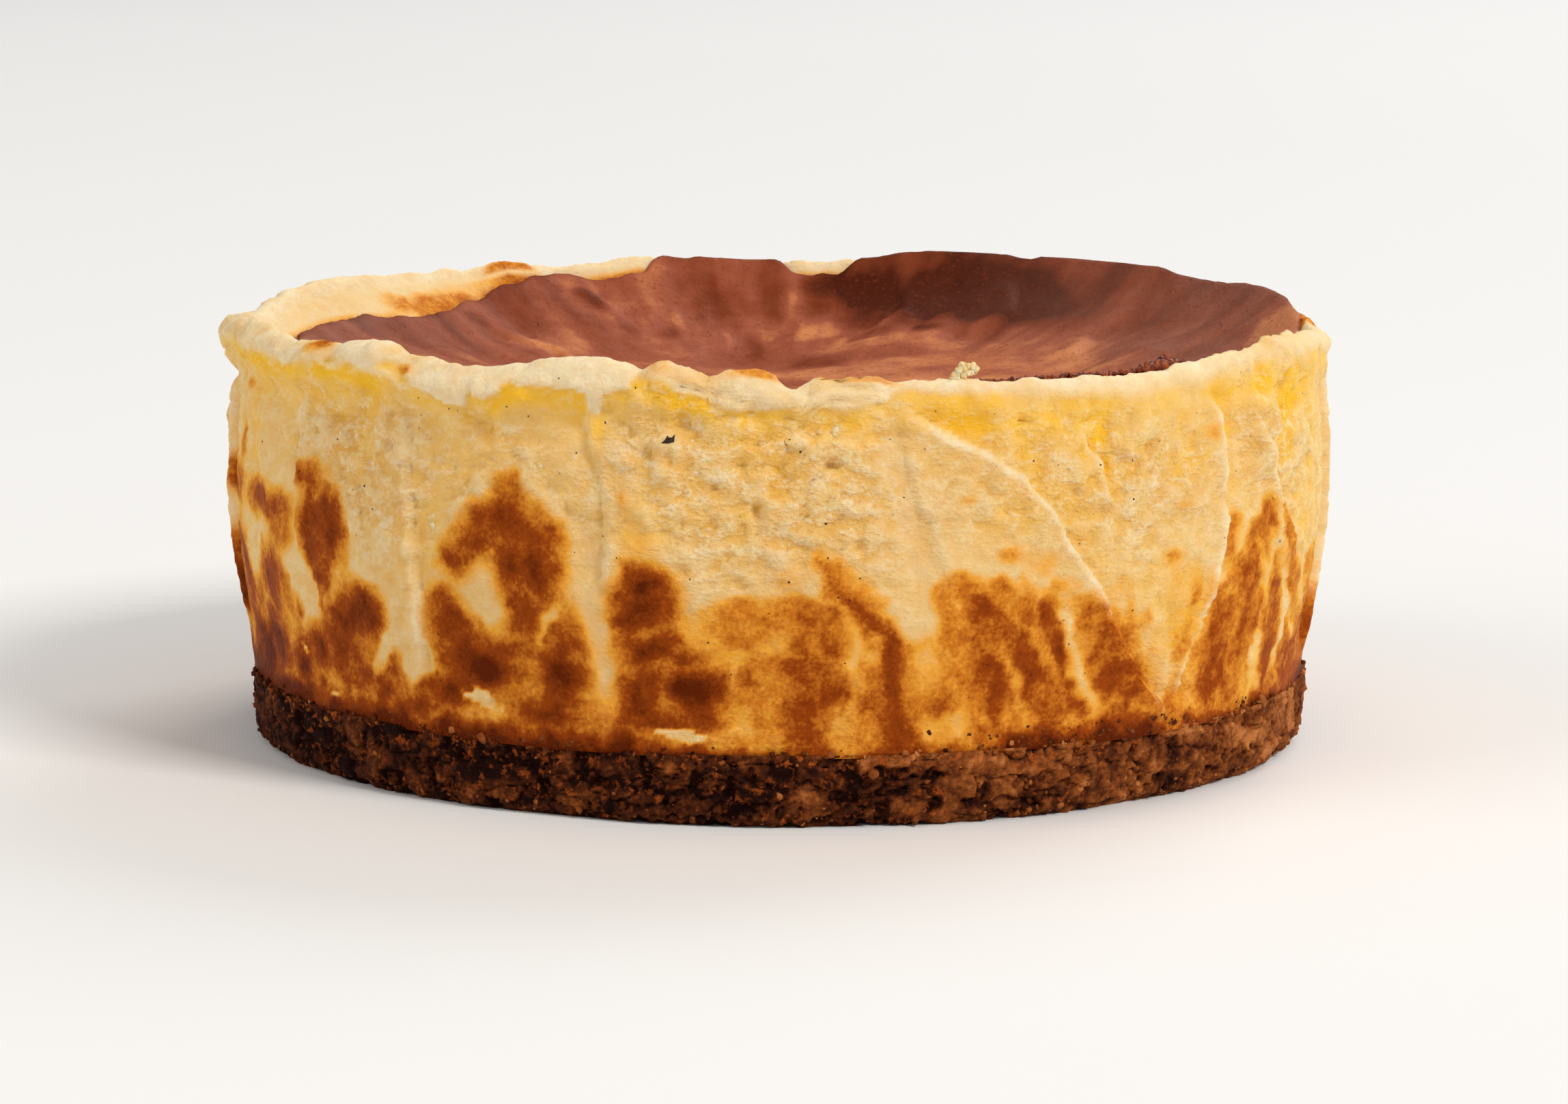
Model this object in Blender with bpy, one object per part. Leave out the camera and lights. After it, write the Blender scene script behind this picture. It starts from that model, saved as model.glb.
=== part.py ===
"""A baked cheesecake, uncut: a tall cheese filling with a sunken top and a folded side, on a biscuit crumb base.

The cake stands on the XY plane with its middle over the origin, and its front looks along -Y. A place round the
cake is an azimuth in degrees, 0 at the front and 90 at the right (+X).
"""

import math

import bmesh
import bpy

MM = 0.001

# Driving sizes, in millimetres.
BELLY_RADIUS = 77.3
FOOT_RADIUS = 74.4
CREST_HEIGHT = 58.8
BASE_HEIGHT = 9.7
JOINT_GAP = 0.3
FLOOR_HEIGHT = 46.0

# The side of the filling swells from its foot up to the belly, and draws in a little below the rim.
BELLY_START = 8.0
BELLY_HEIGHT = 34.0
WAIST_START = 40.0
WAIST_HEIGHT = 52.0
WAIST_INSET = 0.5

# The rim is a soft lip, baked outwards over the side, with its crest a little further in.
CREST_RADIUS = 75.3
LIP_RADIUS = 77.8
LIP_DROP = 3.3
NECK_DROP = 6.0
NECK_FADE = 7.0
NECK_INSET = 0.9

# Inside the crest the top has sunk into a dish: a steep wall that runs out into a flat floor.
DISH_STEEPNESS = 4.8
DISH_RADII = (73.2, 70.4, 66.6, 62.0, 56.0, 48.0, 37.0, 22.0)

# Waves of the crest: the azimuth of each one, its half-width in degrees, and how high it rises.
CREST_WAVES = (
    (-73, 10, 1.5),
    (-44, 6, 1.6),
    (-18, 7, 1.5),
    (5, 5, 0.7),
    (28, 16, -0.9),
    (60, 11, 1.3),
    (90, 9, -1.9),
    (111, 8, 1.0),
    (141, 13, 2.1),
    (159, 7, 1.4),
    (184, 9, -0.5),
    (197, 5, 0.8),
    (206, 5, -0.9),
    (214, 5, 0.8),
    (236, 16, 0.4),
    (264, 11, -1.8),
)

# Where the lip stands out further or less, and where it is undercut more or less, in the same form.
LIP_WAVES = ((-90, 50, 1.0), (3, 16, -0.6), (60, 40, -0.7), (120, 40, -0.4), (175, 30, 0.3))
NECK_WAVES = ((-60, 55, 0.4), (3, 14, -0.4), (55, 50, -0.7), (180, 60, -0.2))

# Folds that the lining paper pressed into the side: the azimuth and height where each one starts and ends, how far
# it bows to the right between them, the depth of its step, and the side that stands out (-1 left, 1 right).
FOLDS = (
    (-57, 50, -56.5, 31, 0.0, 0.7, 1),
    (-39, 50, -37, 14, 0.6, 0.8, 1),
    (-18.5, 50, -16, 14, -1.0, 0.9, 1),
    (-15, 46, -6, 33, 0.0, 0.6, -1),
    (12, 53, 17, 31, 0.0, 0.8, 1),
    (12, 54, 44, 11, 2.0, 1.2, -1),
    (31, 52, 35, 40, 0.5, 0.7, -1),
    (46.5, 55, 45, 12, 3.5, 1.1, -1),
    (57, 49, 65, 31, 0.0, 0.8, -1),
    (84, 52, 78, 14, 1.5, 0.9, 1),
    (103, 50, 110, 22, -1.0, 0.8, -1),
    (124, 53, 121, 12, 2.0, 1.1, -1),
    (147, 48, 158, 18, 1.0, 0.9, 1),
    (171, 54, 169, 20, -2.0, 1.0, -1),
    (192, 50, 205, 12, 2.0, 1.1, -1),
    (214, 52, 212, 26, 1.0, 0.7, 1),
    (231, 47, 243, 14, -1.5, 1.0, -1),
    (256, 53, 259, 20, 1.5, 0.8, 1),
    (281, 50, 276, 16, 1.0, 0.9, -1),
)
FOLD_CREST_WIDTH = 3.0
FOLD_TROUGH_WIDTH = 6.0
FOLD_EDGE_WIDTH = 1.3
FOLD_FADE = 5.0

# How the mesh is divided.
COLUMNS = 120
SIDE_ROWS = 14
NOSE_STEPS = 2
BROW_STEPS = 3

# The crumb base, with its worn bottom edge: each ring's radius and height.
BASE_RINGS = ((72.2, 0.0), (73.7, 1.1), (74.2, 3.2), (74.4, 6.4), (74.5, BASE_HEIGHT))
BASE_UNEVENNESS = ((5, 0.35, 40), (11, 0.22, 170), (23, 0.16, 85))
SIDE_UNEVENNESS = ((3, 0.25, 20), (7, 0.14, 200), (16, 0.10, 110))

CHEESE_COLOUR = (0.66, 0.38, 0.14)
BISCUIT_COLOUR = (0.075, 0.025, 0.010)


def clear_scene():
    for item in list(bpy.data.objects):
        bpy.data.objects.remove(item, do_unlink=True)


def make_material(name, colour, roughness):
    material = bpy.data.materials.new(name)
    material.use_nodes = True
    shader = material.node_tree.nodes["Principled BSDF"]
    shader.inputs["Base Color"].default_value = (*colour, 1.0)
    shader.inputs["Roughness"].default_value = roughness
    shader.inputs["Metallic"].default_value = 0.0
    return material


def ease(value):
    """A smooth ramp from 0 to 1."""
    value = min(max(value, 0.0), 1.0)
    return value * value * (3.0 - 2.0 * value)


def turn_between(azimuth, centre):
    """The signed angle from a centre to an azimuth, in degrees, the short way round."""
    return (azimuth - centre + 180.0) % 360.0 - 180.0


def waves(azimuth, listed):
    """The sum of single waves round the cake."""
    return sum(
        rise * math.exp(-((turn_between(azimuth, centre) / width) ** 2))
        for centre, width, rise in listed
    )


def unevenness(azimuth, harmonics):
    """A slow wobble round the cake: each harmonic has a count, a depth and a phase."""
    return sum(
        depth * math.sin(math.radians(count * azimuth + phase))
        for count, depth, phase in harmonics
    )


def crest_height(azimuth):
    return CREST_HEIGHT + waves(azimuth, CREST_WAVES)


def fold_relief(azimuth, height, fold):
    """A fold's relief in millimetres: one side of its line stands out with an abrupt edge, the other lies lower."""
    start_azimuth, start_height, end_azimuth, end_height, bow, depth, proud_side = fold
    along = (start_height - height) / (start_height - end_height)
    inside = min(max(along, 0.0), 1.0)
    line = start_azimuth + (end_azimuth - start_azimuth) * inside + 4.0 * bow * inside * (1.0 - inside)
    fade = ease((start_height + FOLD_FADE - height) / FOLD_FADE) * ease((height - end_height + FOLD_FADE) / FOLD_FADE)
    off = turn_between(azimuth, line) * proud_side
    edge = ease(off / FOLD_EDGE_WIDTH + 0.5)
    proud = math.exp(-max(off, 0.0) / FOLD_CREST_WIDTH) * edge
    trough = math.exp(-max(-off, 0.0) / FOLD_TROUGH_WIDTH) * (1.0 - edge)
    return depth * fade * (0.5 * proud - 0.5 * trough)


def side_radius(azimuth, height):
    """The side of the filling, with its belly, its waist and its folds."""
    swell = ease((height - BELLY_START) / (BELLY_HEIGHT - BELLY_START))
    waist = ease((height - WAIST_START) / (WAIST_HEIGHT - WAIST_START))
    radius = FOOT_RADIUS + (BELLY_RADIUS - FOOT_RADIUS) * swell - WAIST_INSET * waist
    folds = sum(fold_relief(azimuth, height, fold) for fold in FOLDS)
    return radius + unevenness(azimuth, SIDE_UNEVENNESS) * swell + folds * swell


def filling_section(azimuth):
    """Half a section of the filling, from the bottom of its side over the rim to the dish: radii and heights."""
    crest = crest_height(azimuth)
    neck_height = crest - NECK_DROP
    neck_inset = NECK_INSET + waves(azimuth, NECK_WAVES)
    lip_radius = LIP_RADIUS + waves(azimuth, LIP_WAVES)
    bottom = BASE_HEIGHT + JOINT_GAP
    section = []
    for row in range(SIDE_ROWS + 1):
        height = bottom + (neck_height - bottom) * row / SIDE_ROWS
        inset = neck_inset * ease((height - neck_height) / NECK_FADE + 1.0)
        section.append((side_radius(azimuth, height) - inset, height))
    neck_radius = section[-1][0]
    for step in range(1, NOSE_STEPS + 1):
        turn = 0.5 * math.pi * step / NOSE_STEPS
        out = (lip_radius - neck_radius) * math.sin(turn)
        section.append((neck_radius + out, crest - LIP_DROP - (NECK_DROP - LIP_DROP) * math.cos(turn)))
    for step in range(1, BROW_STEPS + 1):
        turn = 0.5 * math.pi * step / BROW_STEPS
        out = (lip_radius - CREST_RADIUS) * math.cos(turn)
        section.append((CREST_RADIUS + out, crest - LIP_DROP + LIP_DROP * math.sin(turn)))
    for radius in DISH_RADII:
        climb = (radius / CREST_RADIUS) ** DISH_STEEPNESS
        section.append((radius, FLOOR_HEIGHT + (crest - FLOOR_HEIGHT) * climb))
    return section


def base_section(azimuth):
    """Half a section of the crumb base, from its bottom to its top: radii and heights."""
    wobble = unevenness(azimuth, BASE_UNEVENNESS)
    return [(radius + wobble, height) for radius, height in BASE_RINGS]


def loft_round(name, section_at, top_height, material):
    """A closed solid of sections set round the Z axis, with a flat bottom and its top closed at one point."""
    mesh = bmesh.new()
    columns = []
    for index in range(COLUMNS):
        azimuth = 360.0 * index / COLUMNS
        turn = math.radians(azimuth)
        columns.append(
            [
                mesh.verts.new((radius * math.sin(turn) * MM, -radius * math.cos(turn) * MM, height * MM))
                for radius, height in section_at(azimuth)
            ]
        )
    for index, column in enumerate(columns):
        following = columns[(index + 1) % COLUMNS]
        for row in range(len(column) - 1):
            mesh.faces.new((column[row], following[row], following[row + 1], column[row + 1]))
    bottom_height = columns[0][0].co.z
    bottom_middle = mesh.verts.new((0.0, 0.0, bottom_height))
    top_middle = mesh.verts.new((0.0, 0.0, top_height * MM))
    for index, column in enumerate(columns):
        following = columns[(index + 1) % COLUMNS]
        mesh.faces.new((bottom_middle, following[0], column[0]))
        mesh.faces.new((top_middle, column[-1], following[-1]))
    data = bpy.data.meshes.new(name)
    mesh.to_mesh(data)
    mesh.free()
    data.materials.append(material)
    data.shade_smooth()
    data.set_sharp_from_angle(angle=math.radians(40))
    solid = bpy.data.objects.new(name, data)
    bpy.context.scene.collection.objects.link(solid)
    return solid


def build():
    clear_scene()
    cheese = make_material("baked_cheese", CHEESE_COLOUR, 0.5)
    biscuit = make_material("biscuit_crumb", BISCUIT_COLOUR, 0.85)
    loft_round("biscuit_base", base_section, BASE_HEIGHT, biscuit)
    loft_round("cheese_filling", filling_section, FLOOR_HEIGHT, cheese)


build()
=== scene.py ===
"""Dresses a whole baked cheesecake: the folded cheese side and its torn rim, the sunken browned skin, the crumb base.

The cake stands on the XY plane round the Z axis, and its front looks along -Y. A place on it is an azimuth in
degrees, 0 at the front and 90 at the right, with a height or a radius in millimetres.
"""

import dataclasses
import itertools
import math

import bmesh
import bpy
import numpy as np
from mathutils import Matrix, Vector, bvhtree


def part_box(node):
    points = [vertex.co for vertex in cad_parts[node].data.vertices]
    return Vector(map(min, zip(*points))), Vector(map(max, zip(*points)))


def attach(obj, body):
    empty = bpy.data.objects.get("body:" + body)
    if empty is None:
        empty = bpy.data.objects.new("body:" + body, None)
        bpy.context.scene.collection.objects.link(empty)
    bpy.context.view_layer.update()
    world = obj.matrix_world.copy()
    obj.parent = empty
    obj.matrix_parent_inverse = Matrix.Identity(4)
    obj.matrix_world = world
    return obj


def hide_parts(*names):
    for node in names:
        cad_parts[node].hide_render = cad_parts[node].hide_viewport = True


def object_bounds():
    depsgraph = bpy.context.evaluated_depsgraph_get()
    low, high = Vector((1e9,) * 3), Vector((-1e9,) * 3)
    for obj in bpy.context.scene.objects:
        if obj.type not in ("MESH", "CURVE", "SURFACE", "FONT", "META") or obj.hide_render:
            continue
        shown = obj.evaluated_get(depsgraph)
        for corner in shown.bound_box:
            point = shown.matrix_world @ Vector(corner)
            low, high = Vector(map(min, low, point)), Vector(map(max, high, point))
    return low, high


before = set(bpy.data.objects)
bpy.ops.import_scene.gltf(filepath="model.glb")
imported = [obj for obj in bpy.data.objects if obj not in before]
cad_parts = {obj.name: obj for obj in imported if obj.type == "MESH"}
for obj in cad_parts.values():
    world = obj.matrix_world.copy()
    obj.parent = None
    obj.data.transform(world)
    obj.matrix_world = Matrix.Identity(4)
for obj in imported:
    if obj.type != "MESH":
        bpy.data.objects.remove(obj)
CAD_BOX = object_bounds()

bl_info = {
    "name": "Baked Cheesecake",
    "version": (1, 0, 0),
    "blender": (4, 5, 0),
    "location": "View3D > Sidebar > Cheesecake",
    "description": "Makes a baked cheesecake's cheese filling, browned skin, crumb base and stage",
    "category": "Object",
}

MM = 0.001
FILLING_NODE = "cheese_filling"
BASE_NODE = "biscuit_base"

# Heights and reaches in millimetres, read from the solids.
BASE_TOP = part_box(BASE_NODE)[1].z / MM
BOX_LOW = np.array(CAD_BOX[0]) / MM
BOX_HIGH = np.array(CAD_BOX[1]) / MM

# The main form, with the same named sizes as the solid.
BELLY_RADIUS = 77.3
FOOT_RADIUS = 74.4
CREST_HEIGHT = 58.8
FLOOR_HEIGHT = 46.0
BELLY_START = 8.0
BELLY_HEIGHT = 34.0
WAIST_START = 40.0
WAIST_HEIGHT = 52.0
WAIST_INSET = 0.5
CREST_RADIUS = 75.3
LIP_RADIUS = 77.8
LIP_DROP = 3.3
FLARE_DROP = 8.0
NECK_DROP = 7.0
NECK_SPAN = 3.0
NECK_INSET = 0.8
DISH_STEEPNESS = 4.8
DEGREE = math.radians(1.0) * BELLY_RADIUS
SKIN_DEGREE = math.radians(1.0) * 64.0

# Waves of the crest: azimuth, half-width in degrees, rise. The broad ones are the solid's own.
CREST_WAVES = (
    (-73, 10, 1.5),
    (-44, 6, 1.6),
    (-18, 7, 1.5),
    (5, 5, 0.7),
    (28, 16, -0.9),
    (60, 11, 1.3),
    (90, 9, -1.9),
    (111, 8, 1.0),
    (141, 13, 2.1),
    (159, 7, 1.4),
    (184, 9, -0.5),
    (197, 5, 0.8),
    (206, 5, -0.9),
    (214, 5, 0.8),
    (236, 16, 0.4),
    (264, 11, -1.8),
)
CREST_RIPPLES = (
    (-54, 3.0, 0.6),
    (-46.6, 1.4, -0.35),
    (-43.4, 1.2, 0.3),
    (-40, 1.8, -0.6),
    (-22, 3.0, 0.35),
    (-17, 2.5, 0.3),
    (-13.5, 0.9, -0.9),
    (-9.5, 2.6, 0.9),
    (-3.2, 2.4, 1.0),
    (1.7, 1.4, -1.5),
    (8.4, 1.6, 0.2),
    (11.2, 1.0, -0.35),
    (40, 7.0, -0.7),
    (54, 6.0, -0.5),
    (132, 3, 0.4),
    (150, 2.5, -0.7),
    (164, 3, 0.5),
    (189, 3, 0.4),
    (219, 2.5, -0.5),
)
LIP_WAVES = ((-90, 50, 1.0), (3, 16, -0.6), (60, 40, -0.7), (120, 40, -0.4), (175, 30, 0.3), (22, 26, -0.5))
NECK_WAVES = ((-60, 55, 0.3), (3, 14, -0.3), (55, 50, -0.5), (180, 60, -0.2), (28, 22, -0.2))

# Folds that the lining paper pressed into the side: the line's points (azimuth, height) from its top down, the depth
# of its step, the width of its edge, and the side that stands out, as seen from outside.
FOLDS = (
    (((-57, 54), (-57.2, 42), (-56.5, 31)), 1.4, 0.6, "right"),
    (((-39.4, 53), (-38.4, 40), (-38.0, 28), (-38.2, 13)), 1.2, 0.6, "left"),
    (((-18.8, 56), (-18.5, 50), (-16.8, 43), (-16.5, 30)), 0.9, 0.6, "right"),
    (((-14.8, 48), (-12, 41), (-8.5, 36), (-5.0, 31)), 0.8, 1.6, "left"),
    (((-1.6, 51), (-1.8, 45), (-0.6, 38)), 0.4, 1.2, "right"),
    (((12, 54), (12.8, 45), (14.6, 40), (17, 30)), 0.7, 1.6, "right"),
    (
        ((11, 55.5), (19, 50), (25, 45), (28.4, 39.4), (31.6, 32), (36, 23.4), (40, 17.4), (44.4, 11)),
        2.8,
        0.9,
        "left",
    ),
    (((30.5, 53), (33, 47.5), (34, 43), (35, 40)), 1.6, 0.5, "left"),
    (((38, 49), (41, 43), (44, 40.5)), 1.0, 0.7, "left"),
    (((46, 56), (48.5, 51.5), (49.3, 43), (49.8, 36), (48.5, 28), (44.5, 11)), 2.4, 0.6, "left"),
    (((56.5, 49), (59, 43), (61.5, 37.5), (66, 30)), 1.6, 0.8, "left"),
    (((58.5, 57), (60, 50), (59, 45)), 1.1, 0.8, "left"),
    (((84, 53), (82, 34), (78, 13)), 1.6, 0.7, "right"),
    (((103, 51), (105, 38), (110, 21)), 1.3, 0.9, "left"),
    (((124, 54), (126, 34), (121, 11)), 2.2, 0.5, "left"),
    (((133, 50), (138, 38), (136, 26)), 1.0, 0.8, "right"),
    (((147, 49), (154, 34), (158, 17)), 1.6, 0.6, "right"),
    (((171, 55), (166, 38), (169, 18)), 1.6, 0.8, "left"),
    (((179, 53), (181, 42), (178, 30)), 0.8, 0.8, "left"),
    (((192, 51), (201, 32), (205, 11)), 2.2, 0.5, "left"),
    (((214, 53), (215, 40), (212, 25)), 1.1, 0.8, "right"),
    (((231, 48), (235, 30), (243, 13)), 1.7, 0.7, "left"),
    (((256, 54), (260, 36), (259, 19)), 1.4, 0.8, "right"),
    (((270, 52), (266, 38), (268, 24)), 0.9, 0.9, "right"),
    (((281, 51), (280, 32), (276, 15)), 1.6, 0.7, "left"),
)
# Torn ledges under the rim, where the cheese above stands out over the cheese below.
LEDGES = (
    (((-4, 49.8), (0, 50.8), (4, 51.4), (8, 51.0), (13, 49.8)), 1.0, 0.4, "left"),
    (((-12, 58.5), (-8.5, 57.0), (-4.5, 55.2), (-1, 54.4)), 0.9, 0.4, "left"),
    (((-1, 56.0), (5, 55.6), (10.5, 56.4)), 1.0, 0.4, "left"),
    (((1, 57.6), (6, 57.3), (10, 57.8)), 0.6, 0.4, "left"),
    (((18, 53.0), (24, 51.8), (30, 52.6)), 0.6, 0.6, "left"),
    (((52, 53.5), (60, 52.5), (68, 53.5)), 0.9, 0.6, "left"),
    (((98, 53), (108, 54), (120, 53)), 0.8, 0.5, "left"),
    (((150, 54), (160, 53), (170, 54)), 0.8, 0.5, "left"),
    (((208, 53), (222, 54.5), (236, 53)), 0.9, 0.5, "left"),
    (((262, 52), (272, 53), (284, 54)), 0.7, 0.5, "left"),
)
FOLD_CREST_WIDTH = 3.4
FOLD_TROUGH_WIDTH = 6.5
FOLD_FADE = 4.0

# Bands where a pleat of the paper pressed the side smooth: points, half-width and depth.
PLEATS = (
    (((-18.2, 40), (-17.8, 32), (-17.2, 22), (-16.6, 14)), 1.3, 0.35),
    (((10.4, 52), (11.8, 44), (13.5, 36), (15.5, 30)), 1.7, 0.2),
    (((-57.8, 51), (-58.2, 42), (-57.5, 35)), 0.8, 0.3),
    (((92, 46), (94, 30), (92, 12)), 2.2, 0.7),
    (((139, 30), (146, 12)), 1.6, 0.5),
    (((186, 47), (185, 28), (187, 12)), 2.3, 0.7),
    (((222, 44), (219, 22)), 1.8, 0.6),
    (((248, 36), (251, 12)), 2.0, 0.6),
)

# Where the curd is torn more or less than elsewhere: azimuth, height, half-width in degrees, half-height, how much.
TORN_PLACES = (
    (-3, 44, 13, 12, 0.55),
    (-48, 44, 12, 11, 0.45),
    (-29, 46, 7, 8, 0.30),
    (24, 45, 8, 8, 0.30),
    (38, 44, 9, 9, 0.35),
    (62, 46, 10, 9, 0.45),
    (-12.5, 38, 3, 6, -0.30),
    (-22, 46, 3, 8, -0.15),
    (-72, 48, 6, 8, -0.10),
    (-60, 30, 8, 12, -0.15),
    (0, 20, 30, 9, -0.15),
)

# Browned patches of the side: azimuth, height, half-width in degrees, half-height, how dark the patch may get.
PATCHES = (
    (-52.6, 34.2, 3.6, 4.8, 0.72),
    (-51.8, 37.4, 2.2, 2.2, 0.76),
    (-54.2, 42.4, 1.7, 1.2, 0.52),
    (-53.2, 28.6, 1.6, 2.8, 0.74),
    (-46.4, 24.5, 3.8, 4.6, 0.84),
    (-50.6, 21.6, 2.4, 3.8, 0.72),
    (-49.2, 16.8, 3.2, 3.4, 0.70),
    (-54.4, 17.0, 1.8, 2.8, 0.84),
    (-64.2, 25.2, 3.0, 4.6, 0.70),
    (-64.8, 36.2, 3.8, 1.5, 0.58),
    (-67.8, 37.0, 2.0, 1.4, 0.58),
    (-61.4, 33.6, 1.4, 2.2, 0.52),
    (-27.2, 42.4, 1.1, 1.8, 0.56),
    (-28.6, 38.8, 2.0, 1.8, 0.62),
    (-25.4, 38.0, 2.8, 2.6, 0.74),
    (-23.6, 33.2, 2.4, 5.0, 0.94),
    (-26.6, 33.4, 1.6, 3.0, 0.84),
    (-25.2, 27.4, 1.3, 3.2, 0.84),
    (-31.4, 35.8, 1.6, 2.0, 0.62),
    (-33.4, 33.0, 1.4, 1.6, 0.56),
    (-34.4, 24.4, 2.2, 3.4, 0.72),
    (-33.0, 20.4, 3.6, 3.6, 0.86),
    (-30.2, 18.4, 3.6, 3.6, 0.98),
    (-27.2, 22.0, 1.8, 1.6, 0.70),
    (-35.0, 15.6, 2.2, 3.0, 0.90),
    (-21.8, 20.6, 2.2, 5.6, 0.92),
    (-20.4, 24.0, 1.1, 2.6, 0.84),
    (-13.2, 31.8, 2.3, 2.2, 0.90),
    (-13.8, 28.6, 2.2, 2.2, 0.72),
    (-10.8, 29.2, 1.4, 1.8, 0.60),
    (-12.4, 23.4, 2.9, 3.2, 0.86),
    (-9.2, 22.0, 2.2, 2.0, 0.78),
    (-7.6, 17.6, 2.9, 4.8, 1.0),
    (-13.4, 17.6, 2.4, 3.6, 0.70),
    (-14.6, 15.4, 1.2, 3.0, 0.84),
    (-11.6, 13.6, 3.6, 1.4, 0.80),
    (-4.4, 27.8, 1.4, 1.4, 0.44),
    (-3.0, 25.6, 1.4, 1.2, 0.42),
    (2.0, 27.0, 1.9, 1.2, 0.54),
    (3.0, 28.8, 1.4, 0.8, 0.46),
    (4.9, 24.4, 0.8, 1.2, 0.50),
    (1.4, 21.0, 1.4, 1.0, 0.60),
    (4.8, 17.4, 1.4, 3.2, 0.80),
    (12.0, 12.2, 2.2, 2.4, 0.64),
    (15.4, 16.4, 1.8, 1.0, 0.50),
    (13.8, 24.0, 0.9, 1.1, 0.46),
    (14.4, 20.4, 2.2, 3.4, 0.38),
    (27.2, 26.8, 1.5, 2.4, 0.58),
    (44.6, 20.6, 0.8, 1.2, 0.42),
    (57.9, 35.4, 1.4, 2.4, 0.56),
    (70, 14, 3.0, 3.4, 0.56),
    (76, 17, 4.0, 5.0, 0.56),
    (75, 26, 3.0, 3.0, 0.42),
    (-72, 14, 5.6, 5.4, 0.86),
    (-76.0, 24, 3.6, 7, 0.62),
    (-77.0, 38, 2.6, 3, 0.56),
    (-66.4, 16.4, 4.6, 4.4, 0.84),
    (-58.4, 15.4, 2.2, 3.8, 0.92),
    (-43.8, 14.6, 1.4, 2.8, 0.88),
    (-41.6, 17.0, 1.0, 1.6, 0.70),
    (-39.0, 13.2, 2.4, 1.8, 0.80),
    (-23.4, 13.6, 3.4, 2.0, 0.88),
)
STREAKS = (
    (((4.2, 35.2), (6.4, 31.6), (8.8, 28.4), (10.6, 24.6)), 1.6, 0.64),
    (((10.2, 27.6), (11.0, 24.4), (11.2, 20), (11.8, 13)), 1.7, 0.60),
    (((8.2, 28.0), (8.8, 25)), 1.1, 0.62),
    (((1.2, 21.4), (3.6, 18.4), (5.6, 14.8)), 1.7, 0.74),
    (((6.6, 20.2), (6.8, 15)), 1.5, 0.66),
    (((17.0, 31.0), (20.4, 26.0), (23.4, 20.0), (25.4, 11.0)), 5.2, 0.44),
    (((17.4, 31.4), (19.4, 28.4), (21.8, 25.4), (24.4, 21.4), (26.4, 18.0)), 2.3, 0.58),
    (((25.2, 20.6), (27.6, 16), (29.6, 11)), 3.0, 0.62),
    (((19.4, 24.0), (21.4, 18.6), (22.8, 11.0)), 2.1, 0.66),
    (((26.6, 28.2), (28.6, 23.4), (30.4, 18.6), (32.0, 12)), 1.8, 0.60),
    (((31.0, 29.6), (33.6, 24.6), (37.0, 19.0), (41.4, 12.6)), 2.3, 0.58),
    (((33.0, 24.0), (35.0, 18), (37.4, 11.5)), 3.2, 0.62),
    (((56.6, 33.0), (55.0, 27.0), (53.2, 21.0), (52.6, 11)), 4.4, 0.42),
    (((52.2, 35.6), (51.4, 31.4)), 1.6, 0.40),
    (((57.8, 37.4), (56.4, 30.6), (54.8, 23.4), (54.4, 11)), 2.6, 0.54),
    (((54.0, 26.6), (51.4, 18.6), (50.2, 11)), 3.0, 0.56),
    (((61.0, 29.6), (62.0, 22), (61.8, 11)), 2.0, 0.54),
    (((62.2, 37.6), (64.4, 31.4), (66.2, 27.4)), 1.6, 0.44),
    (((65.6, 28), (69.0, 22.4)), 1.8, 0.46),
    (((66.6, 20), (67.4, 11)), 2.4, 0.52),
    (((-50.6, 15), (-53.0, 19.4)), 1.4, 0.66),
    (((-62.4, 30), (-60.4, 24), (-57.6, 17)), 1.0, 0.58),
)
# Lines where the browning is thin: points, half-width, how much is taken away.
WIPES = (
    (((27.8, 29.5), (29.8, 24), (31.8, 18), (33.4, 12.4)), 1.0, 0.26),
    (((13.6, 29), (14.6, 23), (15.6, 17)), 1.5, 0.12),
    (((20.6, 24.4), (23.4, 18.6), (25.4, 12.4)), 0.7, 0.14),
    (((22.6, 28.6), (25.6, 23.6), (28.2, 19.0)), 0.7, 0.12),
    (((-8.0, 31.0), (-5.6, 27.0)), 1.8, 0.16),
    (((-27.4, 39), (-25.8, 41)), 0.8, 0.20),
    (((-15.2, 26.4), (-10.4, 26.0)), 0.6, 0.16),
    (((-11.4, 19), (-10.8, 14.6)), 1.4, 0.30),
    (((-46.4, 15), (-43.0, 19.5), (-40.2, 23)), 0.9, 0.30),
    (((-39.6, 31), (-38.8, 23), (-38.2, 16)), 1.5, 0.44),
    (((-53.0, 21), (-55.6, 26), (-57.0, 30)), 1.6, 0.36),
    (((-51.4, 20), (-51.6, 24), (-49.8, 29.0)), 0.7, 0.22),
    (((-25.6, 21), (-23, 26), (-20.6, 30)), 0.8, 0.26),
    (((57.0, 34), (59.0, 26), (58.8, 12)), 1.0, 0.20),
    (((55.4, 29), (54.2, 21), (52.6, 12)), 0.4, 0.12),
    (((53.0, 22), (50.8, 13)), 0.4, 0.10),
    (((64.4, 29), (64.6, 22), (65.0, 13)), 1.0, 0.16),
    (((49.6, 31.0), (53.0, 27.6)), 1.6, 0.18),
)
# How golden the lower side is: azimuth, half-width in degrees, more or less than elsewhere.
WASH_WAVES = (
    (6, 14, 0.30),
    (24, 7, 0.25),
    (56, 9, 0.20),
    (-62, 14, 0.15),
    (-30, 8, 0.10),
    (-5, 4, -0.15),
    (-17.5, 2.5, -0.7),
    (-39, 3, -0.8),
)
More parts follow.
